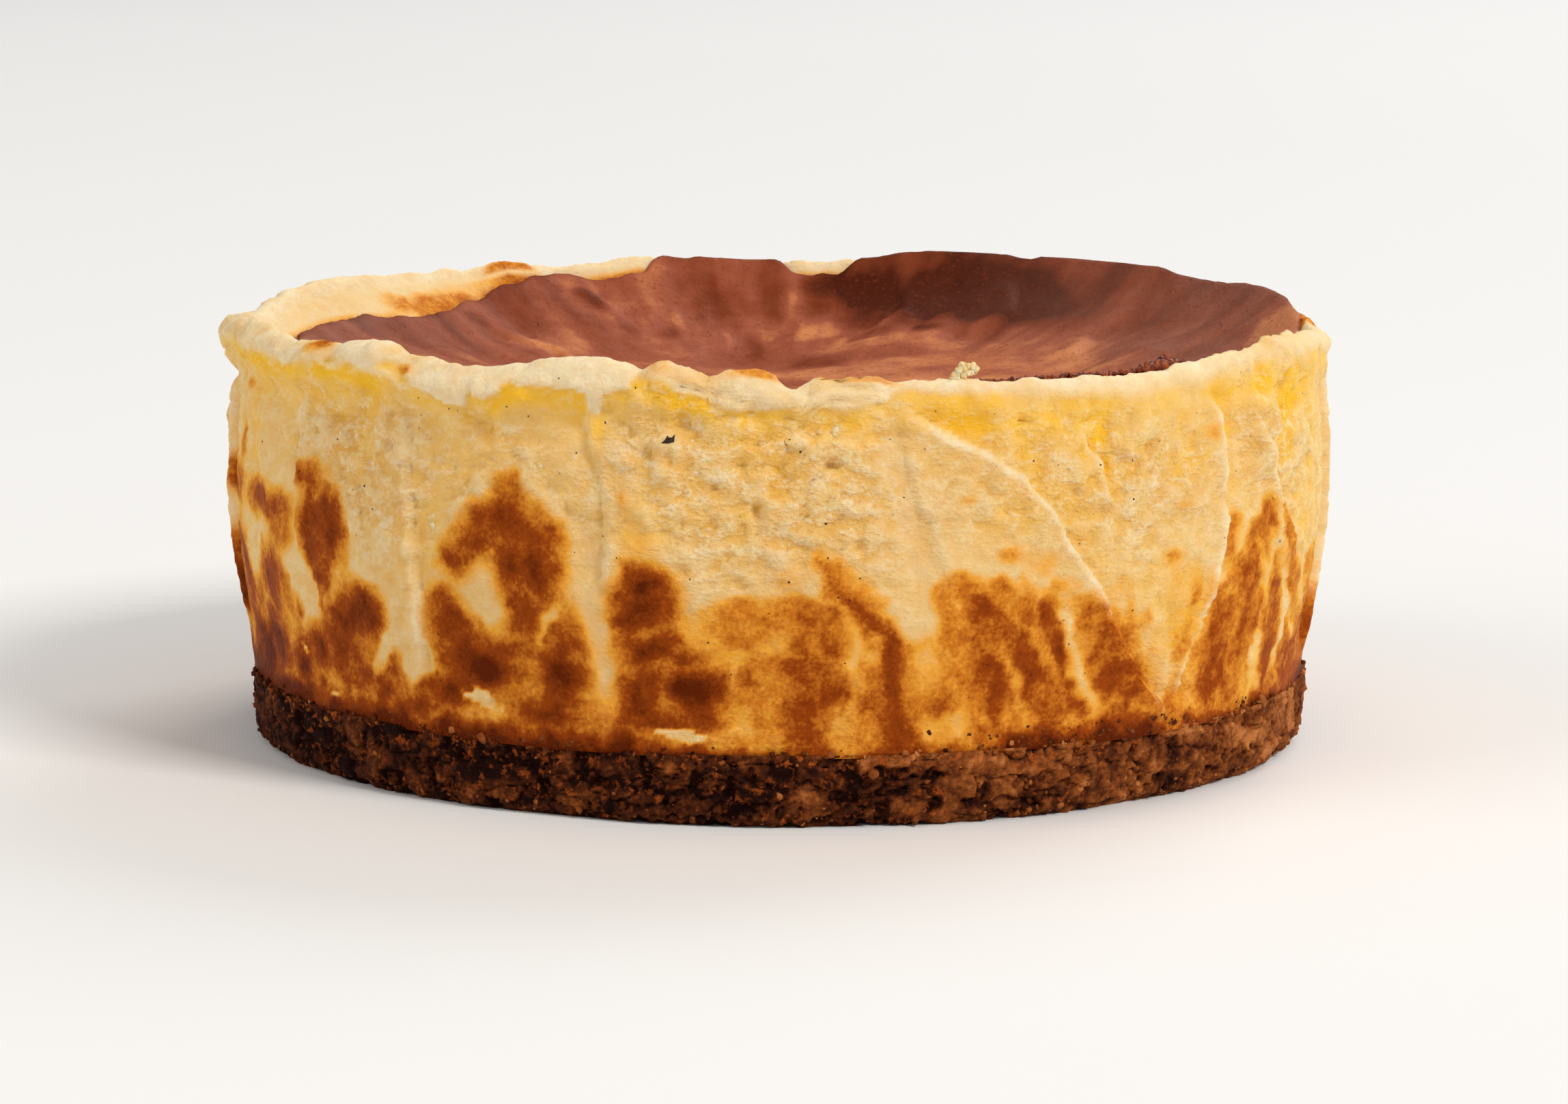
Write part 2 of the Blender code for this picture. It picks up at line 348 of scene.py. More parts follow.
# How high the browned foot of the side reaches, as points (azimuth, height).
FOOT_EDGE = (
    (-80, 14.6),
    (-66, 14.0),
    (-52, 12.8),
    (-44, 12.6),
    (-36, 12.4),
    (-24, 12.8),
    (-15, 12.0),
    (-12, 11.0),
    (-6, 10.2),
    (0, 10.0),
    (7, 10.2),
    (10, 11.8),
    (15, 11.2),
    (18, 10.6),
    (23, 11.8),
    (29, 12.6),
    (35, 13.0),
    (40, 12.6),
    (45.5, 11.2),
    (51, 12.2),
    (58, 10.8),
    (66, 11.8),
    (75, 13.0),
    (120, 12.8),
    (180, 13.2),
    (240, 12.6),
)
# Gaps torn in the browning that show the pale cheese: points and half-width.
TORN_GAPS = (
    (((-34.0, 15.8), (-31.4, 14.9), (-28.6, 13.6)), 0.75),
    (((-29.4, 13.2), (-27.6, 15.4)), 0.85),
    (((-12.6, 12.6), (-10.0, 12.2), (-6.8, 11.3)), 0.75),
    (((-53.6, 12.0), (-50.8, 11.6)), 0.55),
    (((16.6, 12.2), (18.0, 12.6)), 0.5),
    (((-42.4, 16.2), (-41.4, 16.9)), 0.5),
    (((-59.2, 17.8), (-56.4, 17.0)), 0.5),
)
# Faintly toasted spots: azimuth, height, half-width in degrees, half-height, how browned in their middle.
SCORCHES = (
    (18.2, 43.0, 1.5, 1.2, 0.27),
    (22.6, 35.4, 1.2, 1.3, 0.27),
    (23.4, 35.6, 4.6, 2.4, 0.17),
    (26.6, 33.6, 2.2, 2.2, 0.20),
    (42.2, 33.4, 1.1, 1.2, 0.30),
    (47.8, 48.9, 1.6, 1.6, 0.23),
    (45.8, 49.4, 3.2, 1.6, 0.17),
    (43.6, 39.8, 1.8, 0.9, 0.26),
    (27.0, 41.0, 1.4, 1.1, 0.22),
    (45.0, 23.0, 4.0, 7.0, 0.24),
    (53.6, 45.2, 1.8, 0.8, 0.22),
    (51.6, 33.8, 2.0, 3.0, 0.38),
    (43.0, 31.0, 3.6, 5.0, 0.17),
    (48.4, 28.0, 1.8, 4.0, 0.24),
    (35.4, 48.4, 2.6, 1.0, 0.18),
    (5.4, 47.6, 1.2, 0.5, 0.20),
    (4.0, 35.4, 1.6, 2.0, 0.28),
    (-2.0, 41.0, 1.0, 1.0, 0.20),
    (-15.0, 43.6, 0.9, 1.6, 0.30),
    (-14.2, 40.0, 2.0, 3.2, 0.19),
    (-12.6, 36.0, 3.0, 2.8, 0.23),
    (-35.6, 41.8, 1.6, 1.6, 0.18),
    (-37.2, 36.0, 1.2, 4.0, 0.20),
    (-55.8, 43.0, 1.6, 1.4, 0.34),
    (-66.0, 44.4, 3.2, 1.4, 0.20),
    (-60.4, 34.0, 1.4, 6.0, 0.24),
    (-73.4, 43.0, 1.2, 5.0, 0.46),
    (-72.6, 51.0, 1.6, 1.0, 0.40),
    (-49.0, 32.0, 1.6, 2.2, 0.24),
    (-30.6, 33.4, 1.6, 1.6, 0.28),
    (-41.0, 30.0, 1.4, 2.0, 0.22),
    (-8.6, 33.4, 1.6, 1.2, 0.22),
    (0.6, 33.0, 2.4, 3.0, 0.25),
)
# How far apart, in millimetres, two patches still melt together.
PATCH_MELT = 0.9
# The part of the side that the camera doesn't see, in degrees, and how many seeded patches brown it.
HIDDEN_SPAN = (83, 280)
HIDDEN_PATCH_COUNT = 46

# Where the cheese is a deeper yellow than elsewhere: azimuth, height, half-width in degrees, half-height, how much.
YELLOW_PLACES = (
    (-13, 38, 2.6, 5, 0.50),
    (21, 53.0, 8, 2.4, 0.60),
    (31, 50.0, 2.4, 2.6, 0.45),
    (24, 42, 3.5, 4.5, 0.25),
    (35.6, 49.0, 2.2, 1.8, 0.45),
    (43, 30, 4, 7, 0.40),
    (45.6, 20, 3.0, 8, 0.75),
    (50.6, 34, 1.6, 4, 0.60),
    (62, 47, 3, 5, 0.55),
    (70, 36, 4, 6, 0.35),
    (66, 53, 5, 4, 0.45),
    (72, 46, 4, 8, 0.30),
    (57, 53, 3, 3, 0.35),
    (-36, 36, 1.6, 6, 0.30),
    (-3, 20, 5, 9, 0.35),
    (-63, 52, 6, 3, 0.35),
    (-50, 52, 8, 2, 0.35),
    (-39, 30, 1.0, 8, 0.30),
    (59, 20, 1.0, 7, 0.60),
)

# Where the pale crust of the rim ends, as the points (azimuth, height) of its ragged lower edge.
CRUST_EDGE = (
    (-78, 56.8),
    (-62, 57.0),
    (-58, 56.6),
    (-55, 56.9),
    (-50, 58.0),
    (-47.5, 58.3),
    (-44, 57.4),
    (-41.5, 58.4),
    (-39.5, 58.4),
    (-38.4, 56.4),
    (-36, 55.0),
    (-33.6, 53.7),
    (-31.6, 53.9),
    (-31.2, 55.8),
    (-29.5, 55.1),
    (-27.8, 55.7),
    (-27, 57.2),
    (-20, 56.8),
    (-18.9, 56.2),
    (-18.2, 53.7),
    (-17.4, 53.7),
    (-16.8, 56.4),
    (-15, 57.1),
    (-13.6, 58.6),
    (-11, 58.2),
    (-9.4, 57.0),
    (-7.4, 56.6),
    (-5.6, 55.4),
    (-4, 54.6),
    (-1, 54.8),
    (3, 55.2),
    (7, 54.9),
    (10, 56.0),
    (11.5, 57.3),
    (16, 56.9),
    (20, 56.7),
    (28, 56.2),
    (36, 55.9),
    (44, 56.2),
    (52, 56.8),
    (60, 57.0),
    (72, 57.0),
)
# How pale the crust is: azimuth, half-width in degrees, how much more or less than elsewhere.
CRUST_WAVES = (
    (-53.2, 2.6, -0.75),
    (-46, 5, 0.25),
    (-39.8, 1.8, -0.70),
    (-33, 4, 0.25),
    (-20, 7, 0.30),
    (-8, 5, -0.40),
    (4, 6, -0.30),
    (14, 4, 0.25),
    (28, 14, 0.20),
    (62, 12, -0.35),
    (-72, 10, -0.25),
)
CRUST_STEP = 0.42
# Where the crust's edge is softer, in millimetres over its usual width: azimuth, half-width in degrees, how much.
CRUST_SOFTNESS = (
    (42, 24, 3.2),
    (62, 14, 1.2),
    (134, 26, 2.2),
    (214, 20, 1.6),
    (262, 16, 1.0),
    (-72, 10, 2.0),
)

# Lumps and dimples of the side: azimuth, height, half-width in degrees, half-height, how deep in millimetres.
LUMPY_PLACES = (
    (61, 50, 11, 8, 1.5),
    (37, 49, 8, 6, 1.1),
    (44, 44, 6, 6, 0.7),
    (-46, 48, 7, 6, 0.6),
    (-33, 48, 4, 6, 0.5),
    (-68, 46, 6, 9, 0.7),
    (-4, 46, 12, 8, 0.4),
    (22, 45, 6, 7, 0.6),
    (110, 48, 14, 8, 0.9),
    (160, 46, 12, 9, 0.8),
    (218, 47, 14, 8, 0.9),
    (266, 45, 12, 9, 0.8),
)

# Small pits, with a painted amber shade in them: azimuth, height, half-width in degrees, half-height, depth as a
# share.
PITS = (
    (31.6, 51.9, 0.8, 0.5, 1.0),
    (24.6, 52.4, 1.0, 0.4, 0.7),
    (5.2, 47.7, 1.3, 0.5, 1.0),
    (7.8, 37.6, 0.8, 0.9, 1.0),
    (30.2, 43.2, 1.0, 0.4, 0.8),
    (-3.6, 47.5, 0.8, 0.4, 0.9),
    (-11.4, 38.6, 1.6, 0.9, 0.6),
    (-2.0, 41.2, 0.6, 1.0, 0.8),
    (2.4, 44.0, 0.8, 0.6, 0.6),
    (36.0, 46.6, 1.2, 0.9, 0.7),
    (42.4, 50.4, 0.7, 0.4, 0.7),
    (54.0, 45.2, 1.6, 0.6, 0.7),
    (33.4, 40.0, 1.0, 1.0, 0.6),
    (-44.6, 45.2, 0.7, 1.0, 0.6),
    (-41.6, 47.6, 0.5, 1.0, 0.6),
    (-47.4, 51.0, 1.6, 0.7, 0.5),
    (-22.4, 43.4, 0.9, 0.8, 0.6),
    (-20.8, 41.0, 0.5, 1.2, 0.6),
    (-32.4, 45.6, 1.4, 0.6, 0.5),
)

# How strong the painted yellow shade and glow under the crust is: azimuth, half-width in degrees, how much more or
# less than elsewhere.
GLOW_WAVES = (
    (-64, 14, 0.45),
    (-46, 7, 0.55),
    (-24, 9, 0.70),
    (-35, 2.5, -0.20),
    (-9, 6, 0.40),
    (5, 6, 0.10),
    (21, 8, 0.30),
    (60, 10, 0.30),
)

# Torn flakes and lumps on the rim: azimuth, drop below the crest, half-width in degrees, half-height, lift, paleness.
RIM_FLAKES = (
    (-57.5, 1.6, 2.4, 0.9, 0.30, 0.9),
    (-50.5, 2.0, 3.4, 0.5, 0.25, 0.8),
    (-45.0, 0.9, 3.2, 1.3, 0.60, 0.9),
    (-41.5, 3.2, 4.2, 0.6, 0.30, 0.7),
    (-35.6, 2.6, 2.0, 1.3, 0.40, 1.0),
    (-29.2, 2.4, 1.4, 1.0, 0.35, 1.0),
    (-9.8, 1.2, 2.4, 1.2, 0.50, 0.1),
    (-5.4, 1.4, 2.2, 1.0, 0.45, 0.2),
    (-2.4, 2.6, 2.0, 1.4, 0.40, 0.4),
    (4.4, 1.0, 4.2, 0.9, 0.45, 0.3),
    (5.6, 2.9, 4.2, 0.7, 0.50, 0.6),
    (53, 2.0, 2.6, 1.4, 0.45, 0.4),
    (60, 3.2, 3.0, 2.0, 0.50, 0.2),
    (67, 2.6, 3.0, 2.2, 0.45, 0.2),
)
HIDDEN_FLAKE_COUNT = 30

# Browned spots on the rim: azimuth, drop below the crest, half-width in degrees, half-height, darkness.
RIM_SCORCHES = (
    (-52.6, 0.2, 0.7, 0.3, 0.56),
    (-51.6, 0.9, 1.6, 0.5, 0.26),
    (-39.0, 1.5, 0.4, 0.3, 0.42),
    (-33.0, 0.8, 1.0, 0.3, 0.26),
    (-11.4, 0.3, 0.8, 0.4, 0.30),
    (-8.6, 0.7, 2.0, 0.6, 0.20),
    (-2.4, 0.1, 1.3, 0.4, 0.42),
    (7.8, 0.1, 1.8, 0.4, 0.38),
    (98, 1.0, 3.0, 1.4, 0.48),
    (214, 1.0, 3.0, 1.0, 0.50),
)

# Browned spots on the bare wall inside the rim: azimuth, radius, half-width in degrees, half-height, darkness.
WALL_SCORCHES = (
    (230, 69.0, 4.0, 1.8, 0.46),
    (224, 69.6, 2.0, 1.2, 0.50),
    (214, 73.8, 3.0, 1.0, 0.56),
    (99, 73.6, 4.0, 1.8, 0.52),
)

# Where the browned skin ends, as points (azimuth, radius) that the edge runs through.
SKIN_EDGE = (
    (-60, 72.2),
    (-20, 72.8),
    (20, 73.8),
    (45, 74.1),
    (75, 73.4),
    (92, 73.6),
    (99, 75.6),
    (110, 76.3),
    (160, 76.5),
    (170.6, 76.0),
    (173.2, 72.9),
    (178.2, 72.9),
    (180.6, 75.9),
    (194, 75.8),
    (198, 72.4),
    (203, 72.6),
    (207, 74.2),
    (211, 73.0),
    (216, 71.5),
    (223, 69.2),
    (229, 67.0),
    (235, 66.0),
    (241, 67.5),
    (248, 68.8),
    (262, 69.6),
    (275, 68.2),
    (288, 69.5),
)
# Folds of the skin: the line's points (azimuth, radius) from the rim inwards, depth, width of its edge, and the side
# that stands out.
SKIN_FOLDS = (
    (((166, 75), (165, 66), (168, 58)), 1.6, 1.6, "left"),
    (((149, 72), (146, 64), (150, 55)), 1.8, 2.4, "right"),
    (((206, 73), (205, 66), (203, 58)), 1.3, 2.6, "right"),
    (((186, 73), (184, 62)), 0.9, 1.6, "left"),
    (((128, 73), (131, 62), (126, 50)), 1.3, 2.4, "right"),
    (((226, 64), (220, 54), (224, 44)), 1.0, 1.8, "left"),
    (((103, 72), (108, 60)), 1.0, 1.8, "left"),
    (((250, 66), (244, 52)), 1.0, 2.0, "right"),
    (((80, 71), (76, 58), (82, 44)), 1.2, 2.0, "left"),
    (((52, 71), (55, 60)), 0.9, 1.8, "right"),
    (((20, 71), (24, 60), (20, 48)), 1.1, 2.0, "left"),
    (((-14, 70), (-10, 58)), 0.9, 1.8, "right"),
    (((-44, 70), (-38, 58), (-42, 44)), 1.2, 2.0, "left"),
    (((-72, 68), (-70, 54)), 1.0, 2.0, "right"),
)


def ease(value):
    """A smooth ramp from 0 to 1."""
    value = np.clip(value, 0.0, 1.0)
    return value * value * (3.0 - 2.0 * value)


def turn_between(azimuth, centre):
    """The signed angle from a centre to an azimuth, in degrees, the short way round."""
    return (azimuth - centre + 180.0) % 360.0 - 180.0


def waves(azimuth, listed):
    """The sum of single waves round the cake."""
    total = np.zeros_like(azimuth)
    for centre, width, rise in listed:
        total += rise * np.exp(-((turn_between(azimuth, centre) / width) ** 2))
    return total


def scrambled(cell, seed):
    """A repeatable value from -1 to 1 for each cell of a lattice."""
    mixed = cell[..., 0] * 374761393 + cell[..., 1] * 668265263 + cell[..., 2] * 1911520717 + seed * 974634777
    mixed = (mixed ^ (mixed >> 13)) * 1274126177
    mixed = (mixed ^ (mixed >> 16)) * 2246822519
    mixed = mixed ^ (mixed >> 15)
    return (mixed & 0xFFFF) / 32767.5 - 1.0


def noise(points, size, seed, octaves=1):
    """Smooth noise from about -1 to 1 at each point, with swells of this size."""
    total = np.zeros(points.shape[:-1])
    weight = 1.0
    reach = 0.0
    for octave in range(octaves):
        spread = points * (2.0**octave / size) + 17.3 * (seed + octave)
        cell = np.floor(spread).astype(np.int64)
        inside = spread - cell
        eased = inside * inside * (3.0 - 2.0 * inside)
        for corner in itertools.product((0, 1), repeat=3):
            step = np.array(corner)
            share = np.prod(np.where(step, eased, 1.0 - eased), axis=-1)
            total += weight * share * scrambled(cell + step, seed + octave)
        reach += weight * 0.62
        weight *= 0.5
    return total / reach


def pebbles(points, size, seed):
    """For each point, how far the middle of its nearest crumb is, how much nearer than the next, and its own value."""
    spread = points / size
    cell = np.floor(spread).astype(np.int64)
    nearest = np.full(points.shape[:-1], 9.0)
    second = np.full(points.shape[:-1], 9.0)
    own = np.zeros(points.shape[:-1])
    for step in itertools.product((-1, 0, 1), repeat=3):
        other = cell + np.array(step)
        middle = other + 0.5 + 0.42 * np.stack([scrambled(other, seed + axis) for axis in range(3)], axis=-1)
        distance = np.linalg.norm(spread - middle, axis=-1)
        closer = distance < nearest
        second = np.where(closer, nearest, np.minimum(second, distance))
        own = np.where(closer, scrambled(other, seed + 7), own)
        nearest = np.where(closer, distance, nearest)
    return nearest, second - nearest, own


def line_offset(azimuth, height, points, degree=DEGREE):
    """The signed distance in millimetres from a line, positive on its left as seen from outside, and how far along."""
    first_azimuth, first_height = points[0]
    across = turn_between(azimuth, first_azimuth) * degree
    up = height - first_height
    nearest = np.full(across.shape, 1e9)
    signed = np.zeros_like(across)
    along = np.zeros_like(across)
    travelled = 0.0
    for (start_azimuth, start_height), (end_azimuth, end_height) in itertools.pairwise(points):
        start = np.array(((start_azimuth - first_azimuth) * degree, start_height - first_height))
        run = np.array(((end_azimuth - start_azimuth) * degree, end_height - start_height))
        length = float(np.hypot(*run))
        from_start = (across - start[0], up - start[1])
        share = np.clip((from_start[0] * run[0] + from_start[1] * run[1]) / length**2, 0.0, 1.0)
        gap = np.hypot(from_start[0] - share * run[0], from_start[1] - share * run[1])
        side = np.sign(run[1] * from_start[0] - run[0] * from_start[1])
        closer = gap < nearest
        nearest = np.where(closer, gap, nearest)
        signed = np.where(closer, gap * side, signed)
        along = np.where(closer, travelled + share * length, along)
        travelled += length
    fade = ease(along / FOLD_FADE) * ease((travelled - along) / FOLD_FADE)
    return signed, fade


def fold_relief(azimuth, height, folds, degree=DEGREE):
    """The relief of a set of folds in millimetres, and a mask that marks their proud edges, for a painted highlight on
    them.
    """
    relief = np.zeros_like(azimuth)
    edges = np.zeros_like(azimuth)
    for points, depth, edge_width, proud_side in folds:
        signed, fade = line_offset(azimuth, height, points, degree)
        off = signed if proud_side == "left" else -signed
        edge = ease(off / edge_width + 0.5)
        proud = np.exp(-np.maximum(off, 0.0) / FOLD_CREST_WIDTH) * edge
        trough = np.exp(-np.maximum(-off, 0.0) / FOLD_TROUGH_WIDTH) * (1.0 - edge)
        relief += depth * fade * (0.5 * proud - 0.5 * trough)
        edges = np.maximum(edges, fade * depth * np.exp(-(((off - 0.4) / 0.6) ** 2)))
    return relief, edges


def pleat_relief(azimuth, height):
    """The smooth bands' depth in millimetres, and the mask of where the side is pressed smooth."""
    relief = np.zeros_like(azimuth)
    pressed = np.zeros_like(azimuth)
    for points, half_width, depth in PLEATS:
        signed, fade = line_offset(azimuth, height, points)
        inside = fade * ease((half_width - np.abs(signed)) / 0.9 + 0.5)
        relief -= depth * inside
        pressed = np.maximum(pressed, inside)
    return relief, pressed


def depth_inside(azimuth, height, patch):
    """How many millimetres inside an oval patch each point lies, negative outside it."""
    centre, middle, half_width, half_height = patch[:4]
    across = turn_between(azimuth, centre) / half_width
    up = (height - middle) / half_height
    return (1.0 - np.sqrt(across**2 + up**2 + 1e-9)) * min(half_width * DEGREE, half_height)


def soft_patches(azimuth, height, patches, flatness=2.0):
    """The sum of soft oval patches, each with its own amount; the flatter they are, the steeper their edges."""
    total = np.zeros_like(azimuth)
    for centre, middle, half_width, half_height, amount in patches:
        across = turn_between(azimuth, centre) / half_width
        up = (height - middle) / half_height
        total += amount * np.exp(-((across**2 + up**2) ** flatness))
    return total


def crest_height(azimuth):
    return CREST_HEIGHT + waves(azimuth, CREST_WAVES) + waves(azimuth, CREST_RIPPLES)


def side_radius(height):
    """The side's radius without its folds."""
    swell = ease((height - BELLY_START) / (BELLY_HEIGHT - BELLY_START))
    waist = ease((height - WAIST_START) / (WAIST_HEIGHT - WAIST_START))
    return FOOT_RADIUS + (BELLY_RADIUS - FOOT_RADIUS) * swell - WAIST_INSET * waist


def dish_height(azimuth, radius):
    """The sunken top, from the crest in to its floor."""
    climb = np.clip(radius / CREST_RADIUS, 0.0, 1.0) ** DISH_STEEPNESS
    return FLOOR_HEIGHT + (crest_height(azimuth) - FLOOR_HEIGHT) * climb


def through_points(azimuth, listed):
    """Values run smoothly through points (azimuth, value) all round the cake."""
    points = np.array(sorted((place % 360.0, value) for place, value in listed))
    places = np.concatenate((points[-1:, 0] - 360.0, points[:, 0], points[:1, 0] + 360.0))
    values = np.concatenate((points[-1:, 1], points[:, 1], points[:1, 1]))
    wrapped = azimuth % 360.0
    after = np.clip(np.searchsorted(places, wrapped), 1, len(places) - 1)
    share = ease((wrapped - places[after - 1]) / (places[after] - places[after - 1]))
    return values[after - 1] + (values[after] - values[after - 1]) * share


def skin_edge_radius(azimuth):
    """The radius where the browned skin ends."""
    return through_points(azimuth, SKIN_EDGE)


def ring_points(azimuth, radius, height):
    """Points in millimetres from azimuths, radii and heights."""
    turn = np.radians(azimuth)
    return np.stack(np.broadcast_arrays(radius * np.sin(turn), -radius * np.cos(turn), height), axis=-1)


def grid_normals(points):
    """The outward normals of a grid whose first axis runs round the cake and whose second runs up its outline."""
    round_way = np.roll(points, -1, axis=0) - np.roll(points, 1, axis=0)
    up_way = np.gradient(points, axis=1)
    normals = np.cross(round_way, up_way)
    return normals / np.maximum(np.linalg.norm(normals, axis=-1, keepdims=True), 1e-9)


def inside_box(points):
    """Draws points in where they would leave the solids' box."""
    return np.clip(points, BOX_LOW + 0.02, BOX_HIGH - 0.02)


def lathe_faces(columns, rows):
    """Quads between neighbouring columns of a grid that closes on itself, facing out."""
    column, row = np.meshgrid(np.arange(columns), np.arange(rows - 1), indexing="ij")
    here = column * rows + row
    beside = (column + 1) % columns * rows + row
    return np.stack((here, beside, beside + 1, here + 1), axis=-1).reshape(-1, 4)


def new_piece(name, points, faces):
    """A smooth mesh object from points in millimetres, drawn in to the solids' box."""
    mesh = bpy.data.meshes.new(name)
    mesh.from_pydata(inside_box(points) * MM, [], faces)
    mesh.shade_smooth()
    piece = bpy.data.objects.new(name, mesh)
    bpy.context.scene.collection.objects.link(piece)
    return piece


def round_piece(name, points, bottom_middle, top_middle):
    """A closed piece from a grid of points in millimetres, its first and last rows closed on middle points."""
    columns, rows = points.shape[:2]
    faces = lathe_faces(columns, rows).tolist()
    bottom = columns * rows
    for column in range(columns):
        here = column * rows
        beside = (column + 1) % columns * rows
        faces.append((bottom, beside, here))
        faces.append((bottom + 1, here + rows - 1, beside + rows - 1))
    middles = np.array((bottom_middle, top_middle))
    return new_piece(name, np.concatenate((points.reshape(-1, 3), middles)), faces)


def paint(piece, name, values):
    """Stores one value for each point of a piece, for its material to read. The two middle points get the mean."""
    flat = np.clip(np.asarray(values, dtype=np.float32).reshape(-1), 0.0, 1.0)
    missing = len(piece.data.vertices) - len(flat)
    padded = np.concatenate((flat, np.full(missing, flat.mean(), dtype=np.float32)))
    piece.data.attributes.new(name, "FLOAT", "POINT").data.foreach_set("value", padded)


def dress(piece, material, node=None):
    """Gives a piece its material and its place in the frame, and hides the solid it stands for, if any."""
    piece.data.materials.append(material)
    if node:
        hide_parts(node)
    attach(piece, "root")


# ---------------------------------------------------------------------------------------------- node helpers


def connect(tree, socket, value):
    """Links another node's socket to this one, or sets it to a constant."""
    if isinstance(value, bpy.types.NodeSocket):
        tree.links.new(value, socket)
    elif socket.type == "RGBA":
        socket.default_value = (*value, 1.0)
    else:
        socket.default_value = value


def place(tree, kind, inputs=None, **settings):
    """Adds a node, sets its options, and fills its inputs with constants or with other nodes' sockets."""
    made = tree.nodes.new(kind)
    for name, value in settings.items():
        setattr(made, name, value)
    for socket, value in (inputs or {}).items():
        connect(tree, made.inputs[socket], value)
    return made


def maths(tree, operation, first, second=0.0, clamp=False):
    return place(tree, "ShaderNodeMath", {0: first, 1: second}, operation=operation, use_clamp=clamp).outputs[0]


def scale_and_add(tree, value, factor, added, clamp=False):
    return place(
        tree, "ShaderNodeMath", {0: value, 1: factor, 2: added}, operation="MULTIPLY_ADD", use_clamp=clamp
    ).outputs[0]


def smooth_step(tree, value, low, high):
    """0 below the low value, 1 above the high one, smooth between."""
    return place(
        tree,
        "ShaderNodeMapRange",
        {"Value": value, "From Min": low, "From Max": high, "To Min": 0.0, "To Max": 1.0},
        interpolation_type="SMOOTHSTEP",
    ).outputs["Result"]


def attribute(tree, name):
    return place(tree, "ShaderNodeAttribute", attribute_name=name).outputs["Fac"]


def mix_colour(tree, factor, first, second):
    made = place(tree, "ShaderNodeMix", {"Factor": factor}, data_type="RGBA")
    connect(tree, made.inputs[6], first)
    connect(tree, made.inputs[7], second)
    return made.outputs[2]


def object_place(tree, stretch=(1.0, 1.0, 1.0)):
    """The place on the object in metres, stretched so that noise comes out flatter or taller."""
    here = place(tree, "ShaderNodeTexCoord").outputs["Object"]
    return place(tree, "ShaderNodeVectorMath", {0: here, 1: stretch}, operation="MULTIPLY").outputs[0]


def spread_noise(tree, where, size, detail=2.0, roughness=0.5):
    """Noise with swells of this size in metres; the size may be another node's socket."""
    scale = maths(tree, "DIVIDE", 1.0, size)
    settings = {"Vector": where, "Scale": scale, "Detail": detail, "Roughness": roughness}
    return place(tree, "ShaderNodeTexNoise", settings).outputs["Fac"]


def ramp(tree, factor, stops):
    """A colour ramp with its stops as (position, colour)."""
    made = place(tree, "ShaderNodeValToRGB", {"Fac": factor})
    elements = made.color_ramp.elements
    elements.remove(elements[1])
    for index, (position, colour) in enumerate(stops):
        element = elements[0] if index == 0 else elements.new(position)
        element.position = position
        element.color = (*colour, 1.0)
    return made.outputs["Color"]


def node_group(name, inputs, outputs, fill):
    """A shader group, built once: inputs as (name, default), outputs as names, filled by a function."""
    if name in bpy.data.node_groups:
        return bpy.data.node_groups[name]
    group = bpy.data.node_groups.new(name, "ShaderNodeTree")
    for socket_name, default in inputs:
        group.interface.new_socket(socket_name, in_out="INPUT", socket_type="NodeSocketFloat").default_value = default
    for socket_name in outputs:
        group.interface.new_socket(socket_name, in_out="OUTPUT", socket_type="NodeSocketFloat")
    given = group.nodes.new("NodeGroupInput").outputs
    results = fill(group, given)
    end = group.nodes.new("NodeGroupOutput").inputs
    for socket_name, value in results.items():
        group.links.new(value, end[socket_name])
    return group


def use_group(tree, group, values):
    """Places a node group with its values."""
    made = tree.nodes.new("ShaderNodeGroup")
    made.node_tree = group
    for name, value in values.items():
        connect(tree, made.inputs[name], value)
    return made.outputs


def fill_grain(group, given):
    """Curd or crumb: swells, fine grain, and pits where a coarser noise runs high."""
    stretch = place(group, "ShaderNodeCombineXYZ", {0: 1.0, 1: 1.0, 2: given["Flatness"]}).outputs[0]
    where = object_place(group, stretch)
    swells = spread_noise(group, where, given["Swell Size"], 4.0, 0.60)
    fine = spread_noise(group, where, given["Grain Size"], 2.0, 0.60)
    pitted = spread_noise(group, where, given["Pit Size"], 3.0, 0.55)
    pits = smooth_step(group, pitted, maths(group, "SUBTRACT", 0.72, given["Pit Share"]), 0.74)
    relief = scale_and_add(group, swells, 0.62, maths(group, "MULTIPLY", fine, 0.22))
    return {"Height": scale_and_add(group, pits, -0.40, relief), "Pits": pits}


def grain_group():
    inputs = (
        ("Swell Size", 0.0016),
        ("Grain Size", 0.0004),
        ("Pit Size", 0.0012),
        ("Pit Share", 0.10),
        ("Flatness", 1.0),
    )
    return node_group("baked_grain", inputs, ("Height", "Pits"), fill_grain)


def fill_curd(group, given):
    """Torn curd: ragged clumps with a finer grain, and masks of their hollows and a few small voids for a painted
    shade, and of their tops for a painted highlight.
    """
    stretch = place(group, "ShaderNodeCombineXYZ", {0: 1.0, 1: 1.0, 2: given["Flatness"]}).outputs[0]
    where = object_place(group, stretch)
    clumps = spread_noise(group, where, given["Clump Size"], 4.0, 0.60)
    grain = spread_noise(group, where, given["Grain Size"], 2.0, 0.55)
    voids = smooth_step(group, spread_noise(group, where, given["Void Size"], 1.5, 0.5), 0.67, 0.73)
    mixed = scale_and_add(group, grain, 0.26, maths(group, "MULTIPLY", clumps, 0.74))
    # The hollows and voids mark a painted amber shade, the tops a painted highlight.
    hollows = maths(group, "MAXIMUM", smooth_step(group, mixed, 0.50, 0.39), voids)
    tops = smooth_step(group, mixed, 0.48, 0.64)
    return {"Height": scale_and_add(group, voids, -0.07, mixed), "Hollow Shade": hollows, "Top Highlight": tops}


def curd_group():
    inputs = (("Clump Size", 0.0042), ("Grain Size", 0.0009), ("Void Size", 0.0014), ("Flatness", 1.4))
    return node_group("torn_curd", inputs, ("Height", "Hollow Shade", "Top Highlight"), fill_curd)


